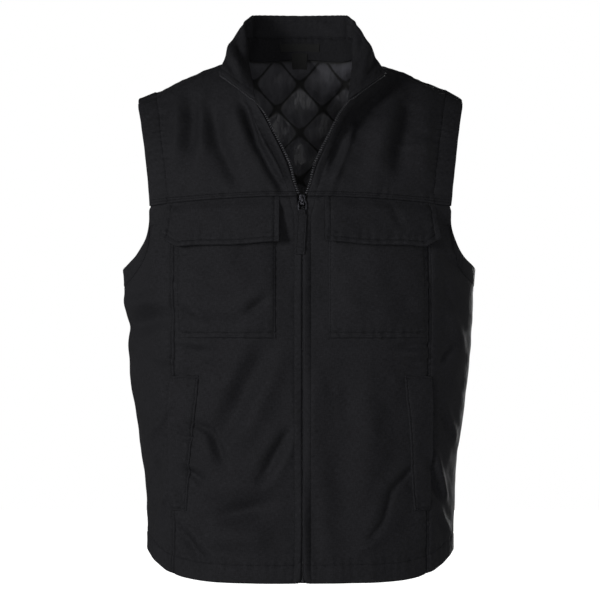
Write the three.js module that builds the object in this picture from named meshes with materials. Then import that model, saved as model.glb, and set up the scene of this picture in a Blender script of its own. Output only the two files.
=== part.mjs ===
// A sleeveless insulated work vest with a stand collar, unzipped to the chest and in the shape of a body.
// Millimetres. +Z is up, the front faces -Y, and the wearer's left side is at +X.
// The origin lies between the shoulders, at the height where the shoulder line meets the neck.
import * as THREE from "three";

// Cloth, padding and clearances
const SHELL_THICK = 2; // canvas shell
const PAD_THICK = 5; // quilted lining with its filling
const FACING_THICK = 1.5;
const TAPE_THICK = 0.8;
const COLLAR_THICK = 4;
const SEAM_GAP = 0.5; // between two panels sewn edge to edge
const LAYER_GAP = 0.4; // between two cloths laid on each other
const LINING_GAP = 1.8; // between the shell and the lining behind it

// The body form: half width, and depth to the front and to the back, at each height
const FORM = [
  { z: -760, half: 213, front: 119, back: 107 },
  { z: -720, half: 214, front: 118, back: 106 },
  { z: -600, half: 217.5, front: 115, back: 100 },
  { z: -500, half: 227.5, front: 116, back: 97 },
  { z: -400, half: 240, front: 120, back: 102 },
  { z: -290, half: 248, front: 124, back: 112 },
  { z: -170, half: 261, front: 120, back: 116 },
  { z: -40, half: 262, front: 112, back: 110 },
  { z: 60, half: 262, front: 108, back: 106 },
];
const ROUNDNESS = 2.3; // exponent of the superellipse that every level section follows
const RIDGE = { top: 59, slope: 0.435, round: 50 }; // the shoulder line seen from the front
const ROLL = { front: 190, back: 150 }; // drop over which the shoulder rolls to the full depth
const FRONT_SHIFT = 3.6; // the front hangs a little towards the wearer's left
const SHOULDER_SEAM = -0.2; // roll angle of the shoulder seam, a little in front of the ridge

// Seams and edges
const SIDE_SEAM_X = 174; // vertical seam between the front or back and the side panel
const YOKE = { z: -183.5, drop: 11.5, atX: 209 };
const HEM = { z: -708.5, rise: 34, power: 5.8, depth: 26 };
const ARMHOLE = {
  midZ: -197,
  depth: 84, // of the lower scoop, below midZ
  tipX: 228,
  front: 0.682, // how far the edge swings from the side, in radians, at midZ
  back: 0.66,
  tip: 0.546, // and at the shoulder
};
const BENT_SEAM = { bendZ: -380, endZ: -222 };
// The front opening from the hem to the shoulder: the zipped edge up to NECK_END_Z, then the neck seam
const OPENING = [
  { z: -708.5, x: 3 },
  { z: -680, x: 1.3 },
  { z: -640, x: 1 },
  { z: -210, x: 1 },
  { z: -195, x: 5.4 },
  { z: -178, x: 8 },
  { z: -139, x: 21.5 },
  { z: -117, x: 31.5 },
  { z: -100, x: 40 },
  { z: -79, x: 50 },
  { z: -65, x: 58 },
  { z: -52, x: 66 },
  { z: -23, x: 71 },
  { z: 14, x: 78 },
];
const NECK_END_Z = -52;
// The open edge stands forward of the chest, most of all where the collar starts
const EDGE_LIFT = { height: 18, reach: 16, startZ: -178, fullZ: -60, endZ: 12 };
// The neck seam from the centre of the back over the shoulder to the front edge
const NECK = [
  { at: 0, x: 0, roll: 0.45 },
  { at: 0.24, x: 38, roll: 0.405 },
  { at: 0.42, x: 63, roll: 0.28 },
  { at: 0.55, x: 75, roll: 0.09 },
  { at: 0.7, x: 77.5, roll: -0.2 },
  { at: 0.82, x: 75.5, roll: -0.45 },
  { at: 0.91, x: 71, roll: -0.7 },
  { at: 1, x: 66, roll: -0.915 },
];
const NECK_SHOULDER = 0.7; // where the neck seam meets the shoulder seam
const FACING = { start: 3.5, end: 29.5 }; // distances from the front edge
const LINING_START = 31;

// The collar's top edge from the centre of the back to the front corner, and how far its middle swells
const COLLAR_TOP = [
  { at: 0, x: 0, y: 57, z: 82, swell: -2 },
  { at: 0.24, x: 44, y: 53, z: 82, swell: -2 },
  { at: 0.42, x: 65.5, y: 37, z: 80, swell: -1 },
  { at: 0.55, x: 71.5, y: 10, z: 75, swell: 1 },
  { at: 0.7, x: 83, y: -13, z: 55, swell: 5 },
  { at: 0.85, x: 98.5, y: -37, z: 20, swell: 9 },
  { at: 1, x: 113, y: -60, z: -12, swell: 9 },
];
const COLLAR_FOOT = 0.012; // share of the collar's height left clear above the neck seam
const NECK_BAND = { reach: 0.5, top: 0.5, thick: 1.2 };
const LABEL = { reach: 0.175, low: 0.18, high: 0.37, thick: 0.6 };
const SIZE_TAB = { reach: 0.07, low: -0.28, high: 0.1, thick: 0.6 };

// Pockets
const CHEST_POCKET = { inX: 36, outX: 169, lowZ: -376, highZ: -203, thick: 1.6 };
const FLAP = { inX: 31, outX: 183, lowZ: -246, sag: 7, chamfer: 20, chamferRise: 15, thick: 2.4 };
const WELT = { outX: 178, inTopX: 141, inLowX: 156, lowZ: -613, highZ: -428, gap: 0.9, thick: 2.6 };

// Zip
const TAPE_WIDTH = 12;
const TEETH = { radius: 1.4, clear: 2.1, turning: 1.2 }; // a bar, its middle clear of the cloth edge
const CHAIN = { half: 2.3, depth: -2.8, thick: 2.4 };
const SLIDER = { width: 7.6, height: 14, topZ: -181.5, front: 2.4, back: -4, bridge: 3.8, bridgeInset: 2 };
const BRIDGE_HOLE = { low: 3.6, high: 9.6, near: 0.3, far: 2.7 };
const PULL_RING = { width: 12.4, height: 15, wire: 1.8, corner: 3 };
const PULL_TAB = { width: 12.6, head: 7.4, length: 59, cloth: 1.1, bend: 2.2, closeBy: 8, lean: -0.06 };

const SIDES = { left: 1, right: -1 };
const { lerp, clamp, smoothstep } = THREE.MathUtils;

// A smooth curve through the rows of a table: a cubic between neighbours, its slopes from the rows around.
function curveAt(rows, key, column, at) {
  const last = rows.length - 1;
  const inside = clamp(at, rows[0][key], rows[last][key]);
  let i = 0;
  while (i < last - 1 && inside > rows[i + 1][key]) i += 1;
  const slope = (k) => {
    const a = rows[Math.max(k - 1, 0)];
    const b = rows[Math.min(k + 1, last)];
    return (b[column] - a[column]) / (b[key] - a[key]);
  };
  const span = rows[i + 1][key] - rows[i][key];
  const u = (inside - rows[i][key]) / span;
  const rise = u * u * (3 - 2 * u);
  const bend = u * (1 - u) * ((1 - u) * slope(i) - u * slope(i + 1));
  return lerp(rows[i][column], rows[i + 1][column], rise) + span * bend;
}

// Straight lines through the rows of a table.
function lineAt(rows, key, column, at) {
  const last = rows.length - 1;
  let i = 0;
  while (i < last - 1 && at > rows[i + 1][key]) i += 1;
  const u = (at - rows[i][key]) / (rows[i + 1][key] - rows[i][key]);
  return lerp(rows[i][column], rows[i + 1][column], clamp(u, 0, 1));
}

// The body form

const ridge = (x) => RIDGE.top - RIDGE.slope * Math.hypot(x, RIDGE.round);
const rollRadius = (front) => (front ? ROLL.front : ROLL.back);

// How far a roll angle lies below the ridge. Past a quarter turn the wall runs straight down.
function dropOf(roll) {
  const turn = Math.abs(roll);
  const share = turn < Math.PI / 2 ? 1 - Math.cos(turn) : 1 + turn - Math.PI / 2;
  return share * rollRadius(roll < 0);
}

// The roll angle at a height, on the front (negative) or the back (positive).
function rollAt(x, z, front) {
  const drop = Math.max((ridge(x) - z) / rollRadius(front), 0);
  const turn = drop < 1 ? Math.acos(1 - drop) : Math.PI / 2 + drop - 1;
  return front ? -turn : turn;
}

const openingAt = (z) => lineAt(OPENING, "z", "x", z);

// The height of a superellipse at a share of its half width.
const rounded = (share) => (1 - share ** ROUNDNESS) ** (1 / ROUNDNESS);

// How far the cloth beside the opening stands forward of the chest.
function liftAt(x, z) {
  const { height, reach, startZ, fullZ, endZ } = EDGE_LIFT;
  const rise = smoothstep(z, startZ, fullZ) * (1 - smoothstep(z, NECK_END_Z, endZ));
  return height * rise * Math.exp(-Math.abs(Math.abs(x) - openingAt(z)) / reach);
}

// A point of the form from how far out it lies and its roll angle over the shoulder.
function overShoulder(x, roll) {
  const front = roll < 0;
  const z = ridge(x) - dropOf(roll);
  const out = Math.min(Math.abs(x) / curveAt(FORM, "z", "half", z), 1);
  const share = Math.sin(Math.min(Math.abs(roll), Math.PI / 2));
  const depth = curveAt(FORM, "z", front ? "front" : "back", z) * share;
  const y = depth * rounded(out);
  if (!front) return new THREE.Vector3(x, y, z);
  return new THREE.Vector3(x + FRONT_SHIFT * share * (1 - out * out), -y - liftAt(x, z), z);
}

// The same from the angle round the body, 0 at the centre front and PI at the centre back, and the height.
function roundBody(side, angle, z) {
  const x = side * outAt(angle, z);
  return overShoulder(x, rollAt(x, z, Math.cos(angle) > 0));
}

const outAt = (angle, z) => curveAt(FORM, "z", "half", z) * Math.sin(angle) ** (2 / ROUNDNESS);

function angleAt(x, z) {
  const out = Math.min(Math.abs(x) / curveAt(FORM, "z", "half", z), 1);
  return Math.asin(out ** (ROUNDNESS / 2));
}

const hemAt = (angle) => HEM.z + HEM.rise * Math.sin(angle) ** HEM.power;
const hemUnder = (x) => hemAt(angleAt(x, HEM.z));
const yokeAt = (x) => YOKE.z - YOKE.drop * (x / YOKE.atX) ** 2;
const TIP_Z = ridge(ARMHOLE.tipX) - dropOf(SHOULDER_SEAM);

// How far out the armhole's edge lies at a height, on the front or the back.
function armholeX(z, front) {
  const spread = front ? ARMHOLE.front : ARMHOLE.back;
  const up = (z - ARMHOLE.midZ) / (TIP_Z - ARMHOLE.midZ);
  const down = clamp((ARMHOLE.midZ - z) / ARMHOLE.depth, 0, 1);
  const swing = up > 0 ? lerp(spread, ARMHOLE.tip, up * up) : spread * rounded(down);
  return outAt(Math.PI / 2 - swing, z);
}

// The armhole's lower scoop as angle and height, from a height on the front round to a height on the back.
function scoop(share, frontZ, backZ) {
  const turnAt = (z) => Math.asin(clamp((ARMHOLE.midZ - z) / ARMHOLE.depth, 0, 1) ** (ROUNDNESS / 2));
  const turn = lerp(turnAt(frontZ), Math.PI - turnAt(backZ), share);
  const spread = turn < Math.PI / 2 ? ARMHOLE.front : -ARMHOLE.back;
  const swing = spread * Math.abs(Math.cos(turn)) ** (2 / ROUNDNESS);
  return [Math.PI / 2 - swing, ARMHOLE.midZ - ARMHOLE.depth * Math.sin(turn) ** (2 / ROUNDNESS)];
}

// The seam that runs up beside the back, or the front of the lining, and bends out to the armhole.
function bentSeamX(z, front) {
  const up = clamp((z - BENT_SEAM.bendZ) / (BENT_SEAM.endZ - BENT_SEAM.bendZ), 0, 1);
  return lerp(SIDE_SEAM_X, armholeX(BENT_SEAM.endZ, front), up * up);
}

function neckAt(at) {
  return [curveAt(NECK, "at", "x", at), curveAt(NECK, "at", "roll", at)];
}

// Patches and walls

const stretch = (from, to, count) =>
  Array.from({ length: count + 1 }, (_, i) => lerp(from, to, i / count));
const evenly = (count) => stretch(0, 1, count);

// A chart spanned between four edges, each a function from 0 to 1 giving a pair of chart coordinates.
// The left and right edges are drawn to the corners of the bottom and the top.
function spanned({ bottom, top, left, right }) {
  const [low, high] = [[bottom(0), bottom(1)], [top(0), top(1)]];
  const ends = [left(0), left(1), right(0), right(1)];
  const drawn = (edge, k, t, side) =>
    edge(t)[k] + lerp(low[side][k] - ends[2 * side][k], high[side][k] - ends[2 * side + 1][k], t);
  return (s, t) => {
    const at = (k) => {
      const corners = lerp(lerp(low[0][k], low[1][k], s), lerp(high[0][k], high[1][k], s), t);
      const across = lerp(drawn(left, k, t, 0), drawn(right, k, t, 1), s);
      return lerp(bottom(s)[k], top(s)[k], t) + across - corners;
    };
    return [at(0), at(1)];
  };
}

const NUDGE = 1e-3;

// The unit normal of a surface from its slopes in two directions, each measured over a small step.
function crossSlopes(surface, a, b, stepA, stepB) {
  const slopeA = surface(a + stepA, b).sub(surface(a - stepA, b));
  const slopeB = surface(a, b + stepB).sub(surface(a, b - stepB));
  return slopeA.cross(slopeB).normalize();
}

// Patches: a point and a unit normal for each s and t from 0 to 1.
// The first lies on the form over the shoulder, the second on the form round the body, the third is free.

function shoulderPatch(side, chart) {
  const place = (x, roll) => overShoulder(side * x, roll);
  return {
    at: (s, t) => place(...chart(s, t)),
    normal: (s, t) => crossSlopes(place, ...chart(s, t), 0.5, 0.004),
  };
}

function bodyPatch(side, chart) {
  const place = (angle, z) => roundBody(side, angle, z);
  return {
    at: (s, t) => place(...chart(s, t)),
    normal: (s, t) => crossSlopes(place, ...chart(s, t), 0.004, 0.5),
  };
}

function freePatch(at) {
  const inside = (share) => clamp(share, NUDGE, 1 - NUDGE);
  return { at, normal: (s, t) => crossSlopes(at, inside(s), inside(t), NUDGE, NUDGE) };
}

const BODY_CENTRE = new THREE.Vector3(0, 0, -150);

// A closed wall on a patch: two sheets set off along the normal, joined round the rim.
// The normal is turned so that it points away from the centre.
function wallOn(patch, across, along, near, far, centre = BODY_CENTRE) {
  const away = patch.at(0.5, 0.5).sub(centre);
  const turn = Math.sign(patch.normal(0.5, 0.5).dot(away));
  const sheet = (offset) =>
    along.map((t) => across.map((s) => patch.at(s, t).addScaledVector(patch.normal(s, t), turn * offset)));
  return joinSheets(sheet(near), sheet(far));
}

// Two grids of points made one closed surface, each quad cut along its shorter diagonal.
function joinSheets(first, second) {
  const rows = first.length;
  const columns = first[0].length;
  const points = [...first.flat(), ...second.flat()];
  const count = rows * columns;
  const faces = [];
  const quad = (a, b, c, d) => faces.push([a, b, c], [a, c, d]);
  const id = (row, column) => row * columns + column;
  for (let r = 0; r < rows - 1; r += 1) {
    for (let c = 0; c < columns - 1; c += 1) {
      const loop = [id(r, c), id(r, c + 1), id(r + 1, c + 1), id(r + 1, c)];
      const length = (i, j) => points[loop[i]].distanceTo(points[loop[j]]);
      if (length(1, 3) < length(0, 2)) loop.push(loop.shift());
      quad(...loop);
      quad(...[2, 1, 0, 3].map((i) => loop[i] + count));
    }
  }
  const rim = [];
  for (let c = 0; c < columns - 1; c += 1) rim.push(id(0, c));
  for (let r = 0; r < rows - 1; r += 1) rim.push(id(r, columns - 1));
  for (let c = columns - 1; c > 0; c -= 1) rim.push(id(rows - 1, c));
  for (let r = rows - 1; r > 0; r -= 1) rim.push(id(r, 0));
  rim.forEach((a, i) => {
    const b = rim[(i + 1) % rim.length];
    quad(b, a, a + count, b + count);
  });
  return solidFrom(points, faces);
}

// A geometry from points and triangles, turned so that its volume is positive.
function solidFrom(points, faces) {
  const wedge = ([a, b, c]) => points[a].dot(points[b].clone().cross(points[c]));
  const volume = faces.reduce((sum, face) => sum + wedge(face) / 6, 0);
  const index = faces.flatMap(([a, b, c]) => (volume > 0 ? [a, b, c] : [a, c, b]));
  const geometry = new THREE.BufferGeometry().setFromPoints(points);
  geometry.setIndex(index);
  geometry.computeVertexNormals();
  return geometry;
}

// Panels of the shell and the lining. Each takes the side, +1 for the wearer's left and -1 for the right.

const onFront = (x, z) => [x, rollAt(x, z, true)];
const HALF_GAP = SEAM_GAP / 2;
const LOWER_SHARE = 0.62; // of a tall panel's edge, below the yoke or the armhole
const EDGE_SHARE = 0.7; // of the opening above the yoke, below the neck seam

function frontPanel(s, t) {
  const outX = SIDE_SEAM_X - HALF_GAP;
  const z = lerp(hemUnder(outX * s), yokeAt(outX * s) - HALF_GAP, t);
  return onFront(lerp(openingAt(z), outX, s), z);
}

// The open edge above the yoke seam, then the neck seam up to the shoulder.
function openEdge(share) {
  if (share > EDGE_SHARE) return neckAt(lerp(1, NECK_SHOULDER, (share - EDGE_SHARE) / (1 - EDGE_SHARE)));
  const z = lerp(YOKE.z + HALF_GAP, NECK_END_Z, share / EDGE_SHARE);
  return onFront(openingAt(z), z);
}

const YOKE_CORNER_Z = yokeAt(YOKE.atX);

function frontYoke() {
  const lowZ = YOKE_CORNER_Z + HALF_GAP;
  const ends = [openEdge(0)[0], armholeX(lowZ, true)];
  return spanned({
    bottom: (s) => onFront(lerp(...ends, s), yokeAt(lerp(...ends, s)) + HALF_GAP),
    top: (s) => [lerp(neckAt(NECK_SHOULDER)[0], ARMHOLE.tipX, s), SHOULDER_SEAM],
    left: openEdge,
    right: (t) => onFront(armholeX(lerp(lowZ, TIP_Z, t), true), lerp(lowZ, TIP_Z, t)),
  });
}

const YOKE_SHARE = 0.12; // of the side panel's top edge, along the yoke seam

function sidePanel() {
  const frontX = SIDE_SEAM_X + HALF_GAP;
  const cornerZ = YOKE_CORNER_Z - HALF_GAP;
  const low = [angleAt(frontX, HEM.z), Math.PI - angleAt(frontX, HEM.z)];
  return spanned({
    bottom: (s) => [lerp(...low, s), hemAt(lerp(...low, s))],
    top: (s) => {
      if (s >= YOKE_SHARE) return scoop((s - YOKE_SHARE) / (1 - YOKE_SHARE), cornerZ, BENT_SEAM.endZ);
      const x = lerp(frontX, armholeX(cornerZ, true), s / YOKE_SHARE);
      const z = yokeAt(x) - HALF_GAP;
      return [angleAt(x, z), z];
    },
    left: (t) => {
      const z = lerp(hemAt(low[0]), yokeAt(frontX) - HALF_GAP, t);
      return [angleAt(frontX, z), z];
    },
    right: (t) => {
      const z = lerp(hemAt(low[1]), BENT_SEAM.endZ, t);
      return [Math.PI - angleAt(bentSeamX(z, false) + HALF_GAP, z), z];
    },
  });
}

// Up the bent seam, then up the armhole to the shoulder.
function seamAndArmhole(share, front, lowZ, inset) {
  const lower = share < LOWER_SHARE;
  const up = lower ? share / LOWER_SHARE : (share - LOWER_SHARE) / (1 - LOWER_SHARE);
  const z = lower ? lerp(lowZ, BENT_SEAM.endZ, up) : lerp(BENT_SEAM.endZ, TIP_Z, up);
  const x = (lower ? bentSeamX(z, front) : armholeX(z, front)) - inset;
  return [x, rollAt(x, z, front)];
}

const FORM_DEPTH = 110; // at the shoulder, to turn a gap into a roll angle
const NECK_SPAN = 0.42; // of the back's top edge, from the centre to each end of the neck seam

// The back, which laps over the shoulder ridge to the shoulder seams.
function backPanel() {
  const seamX = SIDE_SEAM_X - HALF_GAP;
  const lap = SHOULDER_SEAM + SEAM_GAP / FORM_DEPTH;
  const overRidge = rollAt(ARMHOLE.tipX, TIP_Z, false) - lap;
  const neckEnd = NECK_SHOULDER - SEAM_GAP / FORM_DEPTH / 2;
  const upperEdge = (out) => {
    const reach = Math.abs(out);
    const past = (reach - NECK_SPAN) / (1 - NECK_SPAN);
    const [x, roll] =
      past < 0
        ? neckAt((reach / NECK_SPAN) * neckEnd)
        : [lerp(neckAt(neckEnd)[0], ARMHOLE.tipX - HALF_GAP, past), lap];
    return [Math.sign(out) * x, roll];
  };
  const edge = (side) => (t) => {
    const [x, roll] = seamAndArmhole(t, false, hemUnder(seamX), HALF_GAP);
    const up = Math.max(t - LOWER_SHARE, 0) / (1 - LOWER_SHARE);
    return [side * x, roll - overRidge * up * up];
  };
  return spanned({
    bottom: (s) => {
      const x = lerp(-seamX, seamX, s);
      return [x, rollAt(x, hemUnder(x), false)];
    },
    top: (s) => upperEdge(2 * s - 1),
    left: edge(-1),
    right: edge(1),
  });
}

// A line beside the front opening, from the hem to the shoulder. It keeps level with the edge, and then
// with the neck seam's roll over the shoulder.
function besideOpening(share, distance, hemLift) {
  if (share > LOWER_SHARE) {
    const up = (share - LOWER_SHARE) / (1 - LOWER_SHARE);
    const [x, roll] = openEdge(up);
    const level = rollAt(x + distance, ridge(x) - dropOf(roll), true);
    return [x + distance, lerp(level, roll, Math.min(up / EDGE_SHARE, 1))];
  }
  const z = lerp(HEM.z + hemLift, YOKE.z + HALF_GAP, share / LOWER_SHARE);
  return onFront(openingAt(z) + distance, z);
}

const frontFacing = (s, t) => besideOpening(t, lerp(FACING.start, FACING.end, s), 0);

function frontLining() {
  const seamX = SIDE_SEAM_X - HALF_GAP;
  const hem = (x) => hemUnder(x) + HEM.depth;
  const beside = (t) => besideOpening(t, LINING_START, HEM.depth);
  const startX = beside(0)[0];
  const topRoll = SHOULDER_SEAM - (3 * SEAM_GAP) / FORM_DEPTH;
  return spanned({
    bottom: (s) => onFront(lerp(startX, seamX, s), hem(lerp(startX, seamX, s))),
    top: (s) => [lerp(beside(1)[0], ARMHOLE.tipX - HALF_GAP, s), topRoll],
    left: beside,
    right: (t) => seamAndArmhole(t, true, hem(seamX), HALF_GAP),
  });
}

function sideLining() {
  const seamAngle = (z, front) => angleAt(bentSeamX(z, front) + SEAM_GAP, z);
  const low = [seamAngle(HEM.z, true), Math.PI - seamAngle(HEM.z, false)];
  const hem = (angle) => hemAt(angle) + HEM.depth;
  const heightAt = (t) => lerp(hem(low[0]), BENT_SEAM.endZ, t);
  return spanned({
    bottom: (s) => [lerp(...low, s), hem(lerp(...low, s))],
    top: (s) => scoop(lerp(0.003, 0.997, s), BENT_SEAM.endZ, BENT_SEAM.endZ),
    left: (t) => [seamAngle(heightAt(t), true), heightAt(t)],
    right: (t) => [Math.PI - seamAngle(heightAt(t), false), heightAt(t)],
  });
}

// The collar, from the neck seam up to its top edge, rolled forward towards the front corners.
function collarAt(around, up) {
  const reach = Math.abs(around);
  const [x, roll] = neckAt(reach);
  const foot = overShoulder(Math.sign(around) * x, roll);
  const row = (column) => curveAt(COLLAR_TOP, "at", column, reach);
  const topX = Math.sign(around) * row("x") + FRONT_SHIFT * smoothstep(reach, 0.8, 1);
  const topY = row("y") - row("swell") * 4 * (1 - up);
  return foot.lerp(new THREE.Vector3(topX, topY, row("z")), up);
}

const collar = (s, t) => collarAt(2 * s - 1, lerp(COLLAR_FOOT, 1, t));
const neckBand = (s, t) =>
  collarAt(NECK_BAND.reach * (2 * s - 1), lerp(2 * COLLAR_FOOT, NECK_BAND.top, t));
const neckLabel = (s, t) => collarAt(LABEL.reach * (2 * s - 1), lerp(LABEL.low, LABEL.high, t));
const sizeTab = (s, t) => collarAt(SIZE_TAB.reach * (2 * s - 1), lerp(SIZE_TAB.low, SIZE_TAB.high, t));

// Pieces laid on the shell

const chestPocket = (s, t) =>
  onFront(lerp(CHEST_POCKET.inX, CHEST_POCKET.outX, s), lerp(CHEST_POCKET.lowZ, CHEST_POCKET.highZ, t));

// The flap's lower edge falls a little towards the outside, where its corner is cut off.
function pocketFlap(s, t) {
  const x = lerp(FLAP.inX, FLAP.outX, s);
  const cut = Math.max(0, 1 - (FLAP.outX - x) / FLAP.chamfer);
  const low = FLAP.lowZ - FLAP.sag * s + FLAP.chamferRise * cut;
  return onFront(x, lerp(low, yokeAt(x) - SEAM_GAP, t));
}

const handPocketWelt = (s, t) =>
  onFront(lerp(lerp(WELT.inLowX, WELT.inTopX, t), WELT.outX, s), lerp(WELT.lowZ, WELT.highZ, t));

// The zip

const TAPE_SHARE = lerp(LOWER_SHARE, 1, EDGE_SHARE); // of the opening, from the hem to the collar
const zipTape = (s, t) => besideOpening(t * TAPE_SHARE, lerp(2, TAPE_WIDTH, s), 0);

const TEETH_START = (EDGE_SHARE * (SLIDER.topZ + SEAM_GAP - YOKE.z)) / (NECK_END_Z - YOKE.z);

// The teeth run as a bar beside the front edge of the yoke, then of the collar, from 0 at the slider to 1.
function teethLine(side, t) {
  const yoke = shoulderPatch(side, frontYoke()).at;
  const collarEnd = (s, up) => collarAt(side * (1 - s), up);
  const freeWay = (cloth, along) => cloth(0, along).sub(cloth(NUDGE, along)).normalize();
  const onYoke = lerp(TEETH_START, EDGE_SHARE, Math.min(t * 2, 1));
  const onCollar = lerp(COLLAR_FOOT, 1, Math.max(t * 2 - 1, 0));
  const onward = smoothstep(t, 0.4, 0.6);
  const free = freeWay(yoke, onYoke).lerp(freeWay(collarEnd, onCollar), onward).normalize();
  const turning = TEETH.turning * (1 - smoothstep(Math.abs(t - 0.5), 0, 0.15));
  const edge = t < 0.5 ? yoke(0, onYoke) : collarEnd(0, onCollar);
  return edge.addScaledVector(free, TEETH.clear + turning);
}

function zipTeeth(side) {
  const section = new THREE.Shape().absarc(0, 0, TEETH.radius, 0, 2 * Math.PI);
  const extrudePath = new THREE.CatmullRomCurve3(evenly(20).map((t) => teethLine(side, t)));
  const drawn = { steps: 20, extrudePath, bevelEnabled: false, curveSegments: 3 };
  return new THREE.ExtrudeGeometry(section, drawn);
}

const centreFront = (z) => overShoulder(0, rollAt(0, z, true));

function zipChain(s, t) {
  const z = clamp(lerp(HEM.z, YOKE.z, t), HEM.z + 1, SLIDER.topZ - SLIDER.height - SEAM_GAP);
  return centreFront(z).add(new THREE.Vector3(CHAIN.half * (2 * s - 1), 0, 0));
}

// A shape drawn forward and up, drawn out to a width across the vest and centred on a point of its front.
function acrossFront(shape, width, at) {
  const geometry = new THREE.ExtrudeGeometry(shape, { depth: width, bevelEnabled: false });
  geometry.translate(0, 0, -width / 2);
  geometry.rotateX(Math.PI / 2).rotateZ(-Math.PI / 2);
  return geometry.translate(at.x, at.y, at.z);
}

const SLIDER_AT = centreFront(SLIDER.topZ - SLIDER.height);

// Seen from the side, a slider body with a bridge on its front and the hole under the bridge.
function sliderShape() {
  const { front, back, height, bridge, bridgeInset } = SLIDER;
  const shape = new THREE.Shape();
  shape.moveTo(back, 0).lineTo(front, 0).lineTo(front, bridgeInset);
  shape.lineTo(front + bridge, bridgeInset + 1).lineTo(front + bridge, height - bridgeInset - 2);
  shape.lineTo(front, height - bridgeInset).lineTo(front, height).lineTo(back, height).closePath();
  const { low, high, near, far } = BRIDGE_HOLE;
  const hole = new THREE.Path();
  hole.moveTo(front + near, low).lineTo(front + near, high);
  hole.lineTo(front + far, high).lineTo(front + far, low);
  shape.holes.push(hole.closePath());
  return shape;
}

const RING_FORWARD = SLIDER.front + (BRIDGE_HOLE.near + BRIDGE_HOLE.far) / 2;
const RING_TOP = SLIDER_AT.z + BRIDGE_HOLE.low + 2.5;
const RING_BAR_Z = RING_TOP - PULL_RING.height + PULL_RING.wire / 2;

function roundedRectangle(width, height, corner, path) {
  const [x, z] = [width / 2, height / 2];
  path.moveTo(-x + corner, -z).lineTo(x - corner, -z).quadraticCurveTo(x, -z, x, -z + corner);
  path.lineTo(x, z - corner).quadraticCurveTo(x, z, x - corner, z).lineTo(-x + corner, z);
  path.quadraticCurveTo(-x, z, -x, z - corner).lineTo(-x, -z + corner);
  return path.quadraticCurveTo(-x, -z, -x + corner, -z);
}

// The flat metal ring, hung under the bridge.
function pullRing() {
  const { width, height, wire, corner } = PULL_RING;
  const shape = roundedRectangle(width, height, corner, new THREE.Shape());
  const inner = [width - 2 * wire, height - 2 * wire, corner - wire / 2];
  shape.holes.push(roundedRectangle(...inner, new THREE.Path()));
  const drawn = { depth: wire, bevelEnabled: false, curveSegments: 4 };
  const geometry = new THREE.ExtrudeGeometry(shape, drawn);
  geometry.translate(0, 0, -wire / 2).rotateX(Math.PI / 2);
  return geometry.translate(SLIDER_AT.x, SLIDER_AT.y - RING_FORWARD, RING_TOP - height / 2);
}

// The strap: one cloth folded over the ring's lower bar, so its two layers hang together below.
function pullTab(s, t) {
  const { width, head, length, bend, cloth, closeBy, lean } = PULL_TAB;
  const bar = new THREE.Vector3(SLIDER_AT.x, SLIDER_AT.y - RING_FORWARD, RING_BAR_Z);
  const arc = Math.PI * bend;
  const run = t * (2 * length + arc) - length;
  const front = run > arc;
  const down = front ? run - arc : -run;
  const turned = clamp(run / bend, 0, Math.PI);
  const apart = lerp(bend, cloth / 2 + 0.1, smoothstep(down, 0, closeBy));
  const y = down > 0 ? (front ? -apart : apart) : bend * Math.cos(turned);
  const z = down > 0 ? -down : bend * Math.sin(turned);
  const half = lerp(head, width, smoothstep(down, 3, 7)) / 2;
  return bar.add(new THREE.Vector3(half * (2 * s - 1) + lean * down * Math.sign(down), y, z));
}

// Meshes

const CANVAS = { color: 0x1c1c1e, roughness: 0.85 };
const CANVAS_INSIDE = { color: 0x19191b, roughness: 0.9 };
const SATIN = { color: 0x2b2b2e, roughness: 0.45 };
const TAPE = { color: 0x141416, roughness: 0.8 };
const TOOTH_FINISH = { color: 0x2a2a2d, roughness: 0.35 };
const METAL = { color: 0x8a8a8c, roughness: 0.3, metalness: 1 };
const LABEL_CLOTH = { color: 0x1a1512, roughness: 0.6 };

const vest = new THREE.Group();
function add(name, geometry, finish) {
  const mesh = new THREE.Mesh(geometry, new THREE.MeshStandardMaterial(finish));
  mesh.name = name;
  vest.add(mesh);
}

const liningTop = -SHELL_THICK - LINING_GAP;
const tapeTop = -SHELL_THICK - 2 * LAYER_GAP;
const facingTop = tapeTop - TAPE_THICK - LAYER_GAP;
const shellWall = (patch, across, along) => wallOn(patch, across, along, 0, -SHELL_THICK);
const liningWall = (patch, across, along) =>
  wallOn(patch, across, along, liningTop, liningTop - PAD_THICK);

// Rows and columns shared by panels that meet along a seam or lie on each other, so that they run in step
const SEAM_ROWS = 7;
const seamRows = evenly(SEAM_ROWS);
const openRows = [...stretch(0, EDGE_SHARE, 7), ...stretch(EDGE_SHARE, 1, 4).slice(1)];
const tallRows = (upper) => [
  ...stretch(0, LOWER_SHARE, SEAM_ROWS),
  ...upper.slice(1).map((t) => lerp(LOWER_SHARE, 1, t)),
];
const frontRows = tallRows(openRows);
const backRows = tallRows(evenly(7));
const tapeRows = frontRows.filter((t) => t < TAPE_SHARE + NUDGE).map((t) => t / TAPE_SHARE);
const yokeColumns = evenly(10).map((s) => s ** 1.7);
const facingColumns = [0, (TAPE_WIDTH - FACING.start) / (FACING.end - FACING.start), 1];
const sideColumns = [0, YOKE_SHARE / 2, ...stretch(YOKE_SHARE, 1, 14)];
const [neckLeft, neckRight] = [0.5 - NECK_SPAN / 2, 0.5 + NECK_SPAN / 2];
const backColumns = [
  ...stretch(0, neckLeft, 4),
  ...stretch(neckLeft, neckRight, 8).slice(1, -1),
  ...stretch(neckRight, 1, 4),
];
const flapColumns = [...stretch(0, 1 - FLAP.chamfer / (FLAP.outX - FLAP.inX), 6), 1];

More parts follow.
